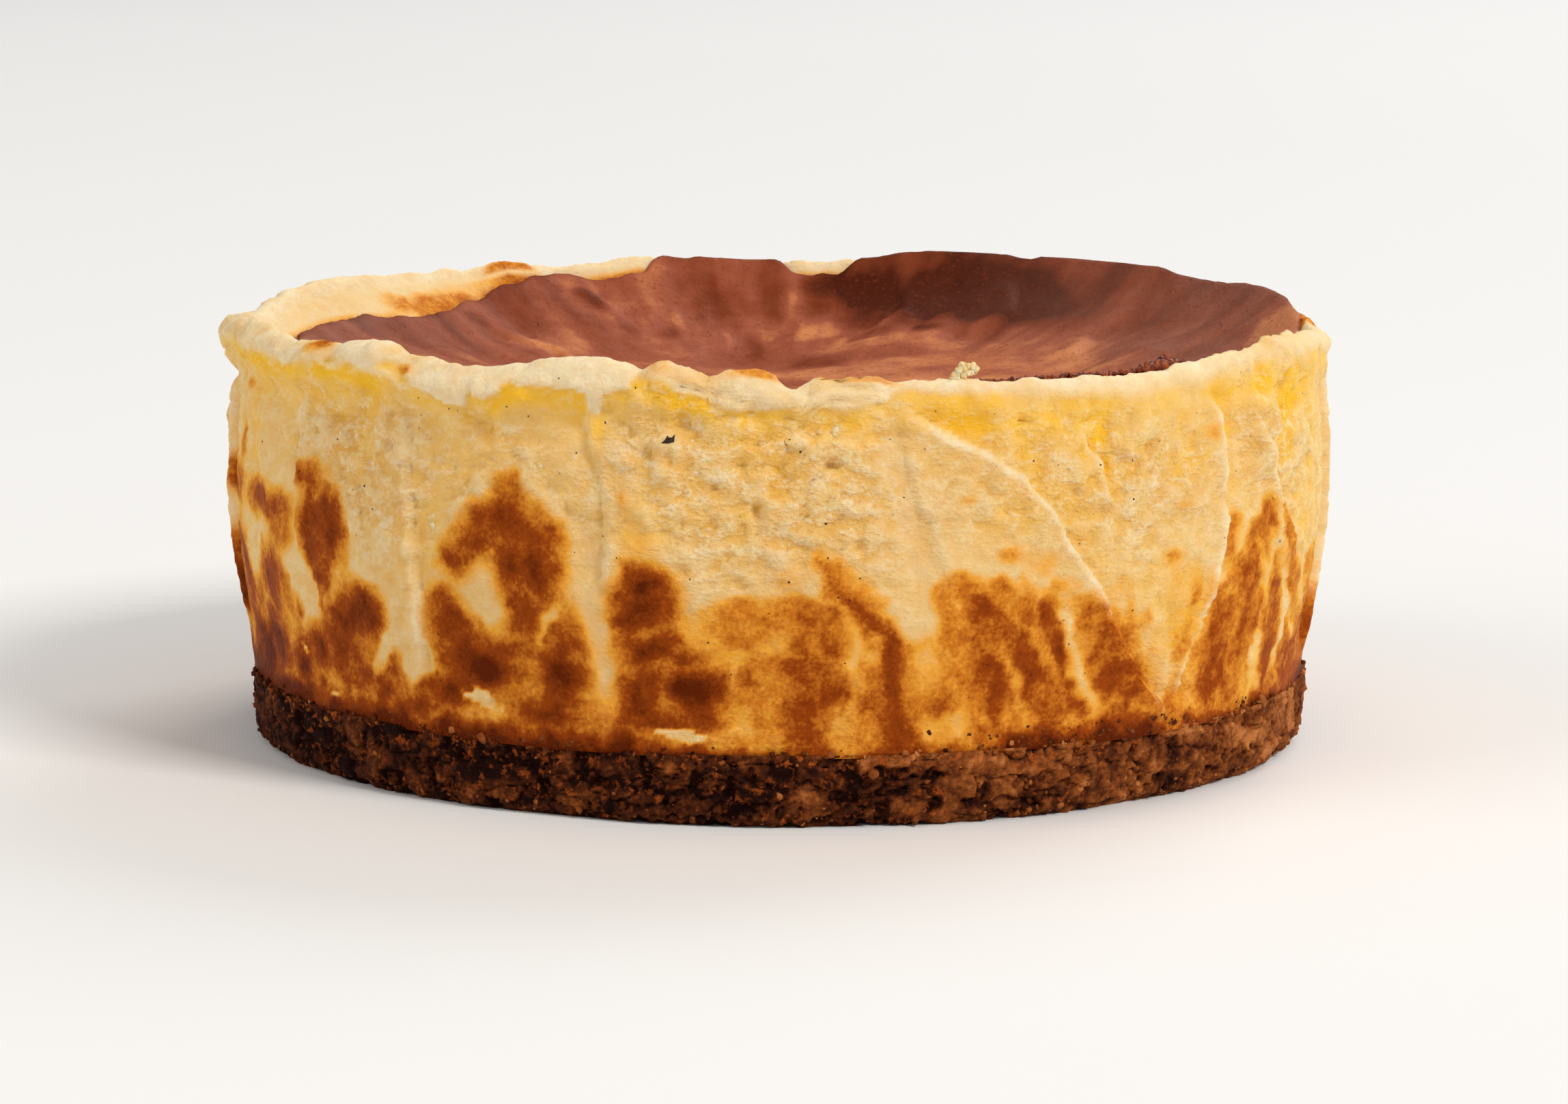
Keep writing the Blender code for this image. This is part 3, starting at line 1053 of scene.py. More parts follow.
def fill_browning(group, given):
    """Breaks up a smooth browning value with noise of two sizes, which grows with it, so that its edges are ragged."""
    where = object_place(group)
    grown = smooth_step(group, given["Browning"], given["Calm Below"], given["Ragged Above"])
    broad = maths(group, "SUBTRACT", spread_noise(group, where, given["Broad Size"], 4.0, 0.6), 0.5)
    fine = maths(group, "SUBTRACT", spread_noise(group, where, given["Fine Size"], 3.0, 0.65), 0.5)
    broken = scale_and_add(group, broad, given["Broad Amount"], maths(group, "MULTIPLY", fine, given["Fine Amount"]))
    share = scale_and_add(group, grown, 0.8, 0.2)
    return {"Browning": maths(group, "MAXIMUM", scale_and_add(group, broken, share, given["Browning"]), 0.0)}


def browning_group():
    inputs = (
        ("Browning", 0.0),
        ("Broad Size", 0.004),
        ("Broad Amount", 0.2),
        ("Fine Size", 0.0012),
        ("Fine Amount", 0.15),
        ("Calm Below", -1.0),
        ("Ragged Above", -0.5),
    )
    return node_group("ragged_browning", inputs, ("Browning",), fill_browning)


def new_material(name):
    material = bpy.data.materials.new(name)
    material.use_nodes = True
    tree = material.node_tree
    return material, tree, tree.nodes["Principled BSDF"].inputs


def bump(tree, height, distance, strength=1.0):
    return place(
        tree, "ShaderNodeBump", {"Height": height, "Distance": distance, "Strength": strength}
    ).outputs["Normal"]


# ---------------------------------------------------------------------------------------------- materials


def cheese_material(looks):
    """Baked cheese: cream, amber clouds, a painted amber shade in its hollows, a painted yellow shade under the rim,
    browned patches, a pale torn rim, painted highlights on edges and curd tops.
    """
    material, tree, shader = new_material("baked_cheese")
    torn = attribute(tree, "torn")
    pressed = attribute(tree, "pressed")
    browning = use_group(
        tree,
        browning_group(),
        {
            "Browning": attribute(tree, "browning"),
            "Broad Size": 0.0022,
            "Broad Amount": 0.46,
            "Fine Size": 0.0006,
            "Fine Amount": 0.40,
            "Calm Below": 0.20,
            "Ragged Above": 0.50,
        },
    )["Browning"]
    curd = use_group(
        tree, curd_group(), {"Clump Size": 0.0028, "Grain Size": 0.0007, "Void Size": 0.0013, "Flatness": 1.5}
    )
    toasted = ramp(
        tree,
        browning,
        (
            (0.13, looks.cream_colour),
            (0.29, looks.golden_colour),
            (0.45, looks.orange_colour),
            (0.62, looks.brown_colour),
            (0.92, looks.dark_colour),
        ),
    )
    plain = maths(tree, "SUBTRACT", 1.0, maths(tree, "MULTIPLY", browning, 2.4), clamp=True)
    clouds = spread_noise(tree, object_place(tree, (1.0, 1.0, 1.4)), 0.0075, 4.0, 0.62)
    cloud = maths(tree, "MULTIPLY", smooth_step(tree, clouds, 0.48, 0.70), 0.50)
    # A painted amber shade in the curd's hollows, and in the pits and dimples painted on the mesh; the clouds are the
    # cheese's own amber.
    low = maths(tree, "MULTIPLY", curd["Hollow Shade"], scale_and_add(tree, torn, 0.70, 0.12))
    deep = maths(tree, "MAXIMUM", attribute(tree, "hollow_shade"), maths(tree, "MAXIMUM", cloud, low))
    honeyed = mix_colour(tree, maths(tree, "MULTIPLY", deep, plain), toasted, looks.amber_and_shade_colour)
    # A painted yellow shade and glow under the rim and in the folds and dimples, with the cheese's own yellow places.
    yellow_and_shade = maths(tree, "MULTIPLY", attribute(tree, "yellow_and_shade"), plain)
    yellowed = mix_colour(tree, yellow_and_shade, honeyed, looks.yellow_and_shade_colour)
    press_tint_and_painted_sheen = mix_colour(tree, maths(tree, "MULTIPLY", pressed, 0.60), yellowed, looks.pressed_colour)
    pressed_or_not = mix_colour(tree, plain, yellowed, press_tint_and_painted_sheen)
    # A painted highlight on the tops of the torn curd.
    top_highlight_mask = maths(tree, "MULTIPLY", curd["Top Highlight"], torn)
    high = maths(tree, "MULTIPLY", top_highlight_mask, maths(tree, "MULTIPLY", plain, 0.55))
    broken = spread_noise(tree, object_place(tree), 0.0013, 3.0, 0.6)
    # The pale crust, with the painted highlights on its edge and on the folds' edges that the mesh carries.
    crust = maths(tree, "MULTIPLY", attribute(tree, "pale"), scale_and_add(tree, broken, 1.1, 0.18, clamp=True))
    pale = maths(tree, "MAXIMUM", high, crust)
    connect(tree, shader["Base Color"], mix_colour(tree, pale, pressed_or_not, looks.pale_crust_and_highlight_colour))
    crumbled = spread_noise(tree, object_place(tree), 0.0007, 2.0, 0.6)
    height = maths(tree, "MULTIPLY", curd["Height"], scale_and_add(tree, torn, 0.9, 0.15))
    height = scale_and_add(tree, maths(tree, "MULTIPLY", crumbled, browning), 0.35, height)
    connect(tree, shader["Normal"], bump(tree, height, 0.0009))
    shine = maths(tree, "SUBTRACT", 0.72, maths(tree, "MULTIPLY", browning, 0.12))
    connect(tree, shader["Roughness"], scale_and_add(tree, crumbled, -0.2, shine))
    connect(tree, shader["Subsurface Weight"], 0.50)
    connect(tree, shader["Subsurface Radius"], (1.0, 0.48, 0.12))
    connect(tree, shader["Subsurface Scale"], 0.0011)
    connect(tree, shader["Specular IOR Level"], 0.03)
    return material


def skin_material(looks):
    """The browned skin: terracotta on its floor, dark where it rises, a painted shade in its folds, with a painted
    dull sheen.
    """
    material, tree, shader = new_material("browned_skin")
    scorch = use_group(
        tree,
        browning_group(),
        {
            "Browning": attribute(tree, "scorch"),
            "Broad Size": 0.011,
            "Broad Amount": 0.60,
            "Fine Size": 0.0026,
            "Fine Amount": 0.22,
        },
    )["Browning"]
    coloured = ramp(
        tree,
        scorch,
        (
            (0.06, looks.amber_colour),
            (0.30, looks.terracotta_colour),
            (0.62, looks.umber_colour),
            (0.95, looks.burnt_colour),
        ),
    )
    dusty = spread_noise(tree, object_place(tree), 0.0075, 4.0, 0.65)
    # A painted dull sheen, greyish, broken up by noise.
    press_tint_and_painted_sheen = maths(tree, "MULTIPLY", attribute(tree, "press_tint_and_painted_sheen"), scale_and_add(tree, dusty, 1.3, -0.1, clamp=True))
    with_painted_sheen = mix_colour(tree, press_tint_and_painted_sheen, coloured, looks.painted_sheen_colour)
    speckle = spread_noise(tree, object_place(tree), 0.0008, 2.0, 0.6)
    darker = maths(tree, "MULTIPLY", smooth_step(tree, speckle, 0.54, 0.72), 0.5)
    connect(tree, shader["Base Color"], mix_colour(tree, darker, with_painted_sheen, looks.umber_colour))
    grain = use_group(
        tree,
        grain_group(),
        {"Swell Size": 0.0030, "Grain Size": 0.0008, "Pit Size": 0.0030, "Pit Share": 0.05, "Flatness": 1.0},
    )
    connect(tree, shader["Normal"], bump(tree, grain["Height"], 0.0006))
    satin = spread_noise(tree, object_place(tree), 0.008, 3.0, 0.6)
    connect(tree, shader["Roughness"], scale_and_add(tree, satin, 0.30, 0.36))
    connect(tree, shader["Subsurface Weight"], 0.06)
    connect(tree, shader["Subsurface Radius"], (1.0, 0.4, 0.15))
    connect(tree, shader["Subsurface Scale"], 0.0012)
    connect(tree, shader["Specular IOR Level"], 0.03)
    return material


def crumb_material(name, looks, relief):
    """Pressed biscuit crumb: near-black in its cracks, where its tone holds painted shade, to tan on its grains, with
    its fine relief in metres.
    """
    material, tree, shader = new_material(name)
    tone = use_group(
        tree,
        browning_group(),
        {
            "Browning": attribute(tree, "tone"),
            "Broad Size": 0.0034,
            "Broad Amount": 0.42,
            "Fine Size": 0.0006,
            "Fine Amount": 0.50,
        },
    )["Browning"]
    coloured = ramp(
        tree,
        tone,
        (
            (0.14, looks.darkest_crumb_and_shade_colour),
            (0.42, looks.crumb_colour),
            (0.68, looks.toffee_colour),
            (0.95, looks.tan_colour),
        ),
    )
    embers = spread_noise(tree, object_place(tree), 0.0012, 3.0, 0.6)
    rusty = maths(tree, "MULTIPLY", smooth_step(tree, embers, 0.55, 0.66), attribute(tree, "rust"))
    connect(tree, shader["Base Color"], mix_colour(tree, rusty, coloured, looks.rust_colour))
    grain = use_group(
        tree,
        grain_group(),
        {"Swell Size": 0.0013, "Grain Size": 0.0004, "Pit Size": 0.0014, "Pit Share": 0.16, "Flatness": 1.4},
    )
    connect(tree, shader["Normal"], bump(tree, grain["Height"], relief))
    shine = spread_noise(tree, object_place(tree), 0.0012, 2.0, 0.6)
    connect(tree, shader["Roughness"], scale_and_add(tree, shine, 0.5, 0.42))
    connect(tree, shader["Specular IOR Level"], 0.05)
    return material


def mottled_material(name, stops, roughness, relief=0.0001, subsurface=0.0, specular=0.25):
    """A small thing's material: a mottle of a few colours on a rough surface, with its relief in metres."""
    material, tree, shader = new_material(name)
    tone = spread_noise(tree, object_place(tree), 0.0011, 3.0, 0.6)
    connect(tree, shader["Base Color"], ramp(tree, tone, stops))
    grain = use_group(
        tree,
        grain_group(),
        {"Swell Size": 0.0009, "Grain Size": 0.0003, "Pit Size": 0.0009, "Pit Share": 0.10, "Flatness": 1.0},
    )
    connect(tree, shader["Normal"], bump(tree, grain["Height"], relief))
    connect(tree, shader["Roughness"], scale_and_add(tree, tone, 0.3, roughness))
    connect(tree, shader["Subsurface Weight"], subsurface)
    connect(tree, shader["Subsurface Radius"], (1.0, 0.6, 0.25))
    connect(tree, shader["Subsurface Scale"], 0.0012)
    connect(tree, shader["Specular IOR Level"], specular)
    return material


# ---------------------------------------------------------------------------------------------- the filling

FILLING_COLUMNS = 900
SIDE_ROWS = 86
BROW_ROWS = 10
WALL_RADII = (74.9, 74.4, 73.8, 73.0, 72.0, 70.8, 69.3, 67.4, 65.0, 62.0, 52.0)
FILLING_FOOT = BASE_TOP - 0.4
SUNK_UNDER_SKIN = 2.6


@dataclasses.dataclass
class Grid:
    """The points of the filling before their relief: azimuths, radii, heights and the drop below the crest."""

    azimuth: np.ndarray
    radius: np.ndarray
    height: np.ndarray
    drop: np.ndarray
    points: np.ndarray
    on_side: np.ndarray
    outside: np.ndarray
    covered: np.ndarray


def filling_grid():
    """The smooth outline of the filling, turned round the axis."""
    azimuth = np.arange(FILLING_COLUMNS) * 360.0 / FILLING_COLUMNS
    crest = crest_height(azimuth)
    lip_height = crest - LIP_DROP
    neck_inset = NECK_INSET + waves(azimuth, NECK_WAVES)
    lip_radius = LIP_RADIUS + waves(azimuth, LIP_WAVES)
    radii = []
    heights = []
    for row in range(SIDE_ROWS + 1):
        height = FILLING_FOOT + (lip_height - FILLING_FOOT) * row / SIDE_ROWS
        flare = ease((height - crest + FLARE_DROP) / (FLARE_DROP - LIP_DROP))
        drawn_in = side_radius(height) - neck_inset * np.exp(-(((crest - height - NECK_DROP) / NECK_SPAN) ** 2))
        radii.append(drawn_in + (lip_radius - drawn_in) * flare)
        heights.append(height)
    for step in range(1, BROW_ROWS + 1):
        turn = 0.5 * math.pi * step / BROW_ROWS
        radii.append(CREST_RADIUS + (lip_radius - CREST_RADIUS) * math.cos(turn))
        heights.append(crest - LIP_DROP + LIP_DROP * math.sin(turn))
    edge = skin_edge_radius(azimuth)
    for radius in WALL_RADII:
        covered = ease((edge - radius - 1.0) / 3.0)
        radii.append(np.full_like(azimuth, radius))
        heights.append(dish_height(azimuth, radius) - SUNK_UNDER_SKIN * covered)
    radius = np.stack(radii, axis=1)
    height = np.stack(heights, axis=1)
    around = np.broadcast_to(azimuth[:, None], radius.shape).copy()
    row = np.arange(radius.shape[1])[None, :]
    drop = crest[:, None] - height
    return Grid(
        azimuth=around,
        radius=radius,
        height=height,
        drop=drop,
        points=ring_points(around, radius, height),
        on_side=np.where(row <= SIDE_ROWS, ease(drop / 3.0 - 1.0), 0.0),
        outside=np.where(row <= SIDE_ROWS + BROW_ROWS, 1.0, ease((radius - 72.5) / 2.5)),
        covered=np.where(row <= SIDE_ROWS, 0.0, ease((edge[:, None] - radius + 0.9) / 0.8)),
    )


def above_crust_edge(grid):
    """How many millimetres a point of the rim lies above the ragged lower edge of the pale crust."""
    azimuth = grid.azimuth + noise(grid.points, 2.4, 27, 3) * 0.5 / DEGREE
    hidden = ease((np.abs(turn_between(azimuth, 0.0)) - 74.0) / 6.0)
    ring = ring_points(azimuth, 60.0, 0.0)
    wandering = crest_height(azimuth) - 2.6 + noise(ring, 5.0, 28, 3) * 1.6
    listed = through_points(azimuth, CRUST_EDGE)
    edge = listed + (wandering - listed) * hidden
    return grid.height - edge + noise(grid.points, 1.6, 29, 3) * 0.35


def hidden_flakes():
    """Rim flakes of the same kind on the sides and the back."""
    random = np.random.default_rng(17)
    flakes = []
    for index in range(HIDDEN_FLAKE_COUNT):
        azimuth = 72 + 216 * (index + random.uniform(0.1, 0.9)) / HIDDEN_FLAKE_COUNT
        half_width = random.uniform(1.4, 4.6)
        half_height = random.uniform(0.8, 2.2)
        drop = random.uniform(0.6, 3.8)
        flakes.append((azimuth, drop, half_width, half_height, random.uniform(0.2, 0.5), random.uniform(0.2, 0.9)))
    return tuple(flakes)


def flake_relief(grid):
    """The relief of the rim's torn flakes in millimetres, and how pale they make it."""
    wobble = noise(grid.points, 2.6, 24, 3) * 0.9
    wobble_up = noise(grid.points, 2.6, 26, 3) * 0.9
    azimuth = grid.azimuth + wobble / DEGREE
    drop = grid.drop + wobble_up
    relief = np.zeros_like(azimuth)
    paleness = np.zeros_like(azimuth)
    for flake in RIM_FLAKES + hidden_flakes():
        inside = ease(depth_inside(azimuth, drop, flake) / 0.5 + 0.5)
        relief += flake[4] * inside
        paleness = np.maximum(paleness, flake[5] * inside)
    return relief, paleness


def curd_relief(points):
    """Torn curd in millimetres: ragged flat clumps with hollows between them; and their heights and pits."""
    flat = points * np.array((1.0, 1.0, 1.5))
    clumps = noise(flat, 3.0, 33, 3)
    pits = ease((noise(flat, 1.9, 35, 2) - 0.36) / 0.22)
    relief = 0.30 * clumps + 0.14 * ease((clumps + 0.14) / 0.26) - 0.36 * pits - 0.08
    return relief, clumps, pits


def hidden_patches():
    """Browned patches of the same kind on the sides and the back: each is a ragged group of ovals that melt."""
    random = np.random.default_rng(11)
    first, last = HIDDEN_SPAN
    patches = []
    for index in range(HIDDEN_PATCH_COUNT):
        azimuth = first + (last - first) * (index + random.uniform(0.0, 1.0)) / HIDDEN_PATCH_COUNT
        middle = random.choice((15.0, 20.0, 26.0, 33.0), p=(0.32, 0.30, 0.24, 0.14))
        darkest = random.uniform(0.56, 0.94)
        for _ in range(4):
            aside = azimuth + random.normal(0.0, 2.0)
            up = middle + random.normal(0.0, 3.6)
            patches.append((aside, up, random.uniform(0.8, 2.6), random.uniform(1.4, 5.0), darkest))
    return tuple(patches)


def patch_browning(azimuth, height, patches, steepness=0.15, melt=PATCH_MELT):
    """Browning from 0 to 1, over 0.5 inside a patch and growing inwards; patches that meet melt together."""
    total = np.full_like(azimuth, 1e-9)
    darkest = np.zeros_like(azimuth)
    for patch in patches:
        weight = np.exp(np.minimum(depth_inside(azimuth, height, patch), 6.0) / melt)
        total += weight
        darkest += weight * patch[4]
    inside = melt * np.log(total)
    slope = steepness * np.where(inside < 0.0, 1.3, 1.0)
    return np.clip(0.50 + inside * slope, 0.0, darkest / total)


def streak_browning(azimuth, height):
    browning = np.zeros_like(azimuth)
    for points, half_width, darkest in STREAKS:
        signed, fade = line_offset(azimuth, height, points)
        inside = half_width * (0.3 + 0.7 * fade) - np.abs(signed)
        slope = np.where(inside < 0.0, 0.17, 0.13)
        browning = np.maximum(browning, np.minimum(0.46 + inside * slope, darkest))
    return browning


def wiped_away(azimuth, height):
    """How much browning the listed lines take away."""
    taken = np.zeros_like(azimuth)
    for points, half_width, amount in WIPES:
        signed, fade = line_offset(azimuth, height, points)
        taken = np.maximum(taken, amount * fade * ease((half_width - np.abs(signed)) / 1.2 + 0.5))
    return taken


def torn_gaps(azimuth, height):
    """Where the pale cheese shows through gaps torn in the browning."""
    gaps = np.zeros_like(azimuth)
    for points, half_width in TORN_GAPS:
        signed, fade = line_offset(azimuth, height, points)
        inside = ease((half_width * (0.4 + 0.6 * fade) - np.abs(signed)) / 0.5 + 0.5)
        gaps = np.maximum(gaps, inside * ease(fade * 4.0))
    return gaps


def filling_browning(grid, pressed):
    """How browned each point of the filling is."""
    points = grid.points
    azimuth = grid.azimuth + (noise(points, 5.0, 51, 3) * 1.0 + noise(points, 1.6, 50, 2) * 0.45) / DEGREE
    height = grid.height + noise(points, 5.0, 53, 3) * 1.1 + noise(points, 1.6, 54, 2) * 0.45
    browning = patch_browning(azimuth, height, PATCHES + hidden_patches())
    browning = np.maximum(browning, streak_browning(azimuth, height))
    browning = browning + 0.14 * noise(points, 3.6, 56, 3) * ease((browning - 0.30) / 0.25)
    tall = points * np.array((1.0, 1.0, 0.6))
    mottle = 1.0 + 0.55 * noise(tall, 4.0, 57, 4)
    wash_top = 31.0 + 11.0 * noise(tall, 4.5, 66, 3)
    wash = 0.37 * mottle * (1.0 + waves(grid.azimuth, WASH_WAVES)) * ease((wash_top - grid.height) / 13.0)
    browning = np.maximum(browning, wash) - wiped_away(azimuth, height)
    spots = soft_patches(
        grid.azimuth + noise(points, 2.2, 52, 3) * 0.5 / DEGREE,
        grid.height + noise(points, 2.2, 60, 3) * 0.5,
        SCORCHES,
        1.0,
    )
    browning = np.maximum(browning, spots)
    browning = np.maximum(browning, 0.0) * (1.0 - 0.62 * pressed)
    foot = through_points(grid.azimuth, FOOT_EDGE) + noise(points, 3.0, 55, 4) * 2.0
    browning = np.maximum(browning, np.minimum(0.50 + (foot - grid.height) * 0.16, 0.96))
    gaps = torn_gaps(azimuth, height)
    return browning * (1.0 - gaps) * grid.on_side


def rim_browning(grid):
    """The browned spots of the rim and of the bare wall inside it."""
    azimuth = grid.azimuth + noise(grid.points, 2.2, 58, 2) * 0.6 / DEGREE
    spots = patch_browning(azimuth, grid.drop, RIM_SCORCHES, 0.45, 0.15) * grid.outside
    radius = grid.radius + noise(grid.points, 4.0, 59, 3) * 1.2
    wall = patch_browning(azimuth, radius, WALL_SCORCHES)
    near_skin = 0.60 - np.abs(grid.radius - skin_edge_radius(grid.azimuth)) * 0.26
    return np.maximum(spots, np.maximum(wall, near_skin) * (1.0 - grid.outside))


def filling_yellow_and_shade(grid, folds, glow):
    """Where the cheese is yellow: a painted yellow shade and glow under the crust's edge, a painted shade in the
    folds' troughs, and the listed places.
    """
    strength = 0.65 + waves(grid.azimuth, GLOW_WAVES)
    patchy = 0.85 + 0.40 * noise(grid.points, 4.0, 61, 3)
    places = soft_patches(grid.azimuth, grid.height, YELLOW_PLACES) * (0.85 + 0.6 * noise(grid.points, 3.5, 62, 3))
    hidden = 0.35 * ease(noise(grid.points, 12.0, 64, 2)) * ease((grid.height - 30.0) / 12.0)
    away = ease((np.abs(turn_between(grid.azimuth, 0.0)) - 70.0) / 10.0)
    return glow * strength * patchy + grid.on_side * (places + hidden * away + 0.35 * np.clip(-folds, 0.0, 1.0))


def listed_pits(grid):
    """How deep each point lies in the listed pits, from 0 to 1."""
    azimuth = grid.azimuth + noise(grid.points, 1.4, 43, 2) * 0.3 / DEGREE
    return np.clip(soft_patches(azimuth, grid.height + noise(grid.points, 1.4, 44, 2) * 0.2, PITS), 0.0, 1.0)


def lumps_and_dimples(grid):
    """Soft lumps where they are listed, in millimetres, and the mask of the dimples between them, which get a painted
    shade.
    """
    depth = soft_patches(grid.azimuth, grid.height, LUMPY_PLACES)
    lumps = noise(grid.points * np.array((1.0, 1.0, 0.7)), 4.6, 37, 3)
    return lumps * depth, np.clip(depth, 0.0, 1.0) * ease((-lumps - 0.04) / 0.35)


def make_filling(looks):
    grid = filling_grid()
    points = grid.points
    bent_azimuth = grid.azimuth + (noise(points, 9.0, 3, 2) * 0.8 + noise(points, 2.0, 4, 2) * 0.25) / DEGREE
    bent_height = grid.height + noise(points, 9.0, 5, 2) * 0.8 + noise(points, 2.0, 6, 2) * 0.25
    folds, edges = fold_relief(bent_azimuth, bent_height, FOLDS)
    ledges, _ = fold_relief(bent_azimuth, bent_height, LEDGES)
    pleats, pressed = pleat_relief(bent_azimuth, bent_height)
    pressed = pressed * grid.on_side * (0.50 + 0.6 * noise(points, 3.0, 38, 2))
    browning = np.maximum(filling_browning(grid, pressed), rim_browning(grid))
    flakes, paleness = flake_relief(grid)
    over_edge = above_crust_edge(grid)
    softness = 0.45 + waves(grid.azimuth, CRUST_SOFTNESS)
    crust = ease(over_edge / softness + 0.5) * grid.outside
    lumps, dimples = lumps_and_dimples(grid)
    listed = listed_pits(grid)
    rim = ease((8.0 - grid.drop) / 4.0) * grid.outside
    torn_rim = np.exp(-((turn_between(grid.azimuth, -1.0) / 12.0) ** 4)) * rim
    torn_places = soft_patches(grid.azimuth, grid.height, TORN_PLACES)
    torn = 0.55 + torn_places + 0.20 * noise(points, 14.0, 30, 2) - 0.10 * rim
    torn = np.clip(torn, 0.05, 1.0) * (1.0 - 0.8 * pressed) * (1.0 - 0.60 * ease((browning - 0.30) / 0.30))
    curd, clumps, pits = curd_relief(points)
    swell = ease((grid.height - BELLY_START - 1.0) / 5.0)
    buckles = noise(points * np.array((1.0, 1.0, 0.4)), 12.0, 21, 2) * 0.35
    relief = (folds + pleats * 0.5) * grid.on_side * looks.fold_depth
    relief = relief + ledges * grid.outside * looks.fold_depth + flakes * grid.outside
    relief = relief + CRUST_STEP * (crust - 0.5) * rim
    rough = buckles * (1.0 - 0.5 * rim) + curd * torn * 1.3 * looks.curd_depth + lumps * 1.2
    relief = relief + grid.outside * swell * (rough - 0.9 * listed)
    relief = relief + torn_rim * noise(points, 4.4, 34, 4) * 0.60 + rim * noise(points, 2.6, 36, 4) * 0.34
    relief = relief + (1.0 - grid.outside) * noise(points, 5.0, 41, 3) * 0.35
    relief = relief * (1.0 - grid.covered) - 0.5 * grid.covered
    shaped = points + grid_normals(points) * relief[..., None]
    middle = FLOOR_HEIGHT - SUNK_UNDER_SKIN
    piece = round_piece("cheese_side_and_rim", shaped, (0.0, 0.0, FILLING_FOOT), (0.0, 0.0, middle))
    paint(piece, "browning", browning)
    paint(piece, "pressed", pressed)
    paint(piece, "torn", torn)
    # A painted amber shade in the curd's hollows and pits, in the dimples and in the listed pits.
    low = 0.70 * (1.0 - ease((clumps + 0.34) / 0.40)) * torn
    hollow_shade = np.maximum(pits * torn, low) * (1.0 - 0.4 * rim)
    paint(piece, "hollow_shade", np.maximum(hollow_shade, np.maximum(dimples * 0.9, listed)))
    # A painted yellow shade and glow in the band under the crust's edge; the dimples get a painted yellow shade too.
    glow = np.exp(-((np.abs(over_edge + 1.4) / 2.8) ** 1.6)) * grid.outside * (1.0 - crust)
    paint(piece, "yellow_and_shade", filling_yellow_and_shade(grid, folds, glow) + 0.55 * dimples)
    crust_pale = 0.72 + waves(grid.azimuth, CRUST_WAVES) + 0.40 * noise(points, 2.6, 63, 4)
    # A painted highlight along the crust's edge, where it is crisp.
    line = 0.6 * np.exp(-(((over_edge - 0.5) / 0.5) ** 2)) * rim * ease((1.4 - softness) / 0.6)
    # A painted highlight on the folds' proud edges.
    fold_edge_highlight = 0.42 * edges * grid.on_side * (0.8 + 0.8 * noise(points, 3.0, 65, 2))
    # A painted highlight on the tops of the curd's clumps.
    high = 0.22 * ease((clumps + 0.02) / 0.50) * torn * grid.on_side
    bare_wall = 0.30 * (1.0 - grid.outside)
    pale = np.maximum(np.maximum(crust * crust_pale, line), paleness * grid.outside) + fold_edge_highlight + high + bare_wall
    paint(piece, "pale", pale * (1.0 - ease((browning - 0.22) / 0.25)))
    dress(piece, cheese_material(looks), FILLING_NODE)
    return piece


# ---------------------------------------------------------------------------------------------- the browned skin

SKIN_COLUMNS = 560
SKIN_ROWS = 84
SKIN_UNDER_ROWS = 14
SKIN_BURIED = 1.4


def skin_relief(around, radii, from_edge, looks):
    """The skin's undulations, folds and wrinkles in millimetres."""
    flat = ring_points(around, radii, 0.0)
    bent_azimuth = around + noise(flat, 14.0, 72, 2) * 2.0
    bent_radius = radii + noise(flat, 14.0, 73, 2) * 1.5
    folds, _ = fold_relief(bent_azimuth, bent_radius, SKIN_FOLDS, SKIN_DEGREE)
    settle = ease(from_edge / 10.0)
    broad = noise(flat, 24.0, 74, 2) * 1.0 + noise(flat, 11.0, 75, 2) * 0.55
    fine = noise(flat, 5.0, 76, 2) * 0.25 + noise(flat, 2.2, 77, 2) * 0.10
    drawn = noise(ring_points(around, 62.0, radii * 0.22), 3.6, 79, 2) * 0.28 * ease((radii - 50.0) / 8.0)
    wrinkles = folds * ease(from_edge / 2.5) + drawn * ease(from_edge / 2.0)
    return wrinkles * looks.wrinkle_depth + broad * settle + fine * (0.4 + 0.6 * settle)


# Lighter and darker places of the skin: azimuth, radius, half-width in degrees, half-height, how much darker.
SKIN_SPOTS = (
    (147, 67.5, 7.5, 5.0, 0.62),
    (160, 68.5, 6.0, 4.6, 0.50),
    (153, 64.0, 6.0, 3.0, 0.25),
    (172, 70.5, 6.0, 3.0, 0.30),
    (174.5, 57.5, 4.0, 4.6, -0.34),
    (177.5, 61.0, 3.0, 5.5, -0.16),
    (183, 60.0, 2.5, 5.0, -0.22),
    (157, 56.0, 2.2, 2.6, 0.40),
    (165, 54.0, 3.0, 2.6, 0.30),
    (172, 42.5, 7.0, 3.6, 0.34),
    (160, 45.0, 7.0, 4.0, 0.15),
    (126, 56.0, 4.0, 6.0, -0.22),
    (121, 50.0, 4.0, 5.0, -0.16),
    (205, 66.0, 1.8, 3.0, 0.42),
    (203, 58.0, 1.6, 3.0, 0.16),
    (224, 64.5, 1.6, 2.2, 0.34),
    (197, 56.5, 2.0, 2.2, 0.26),
    (188, 67.0, 2.6, 4.5, 0.20),
    (212, 60.0, 3.0, 6.0, -0.16),
    (193, 62.0, 1.8, 5.0, -0.14),
    (218, 55.0, 5.0, 5.0, -0.14),
    (130, 66.0, 5.0, 4.0, 0.10),
    (40, 60.0, 9.0, 5.0, 0.35),
    (-20, 62.0, 12.0, 4.0, 0.28),
    (-75, 60.0, 8.0, 6.0, 0.25),
    (75, 55.0, 7.0, 6.0, -0.2),
    (10, 45.0, 14.0, 7.0, -0.25),
    (-50, 40.0, 16.0, 7.0, -0.2),
    (230, 30.0, 24.0, 9.0, 0.18),
    (110, 28.0, 26.0, 8.0, -0.2),
)


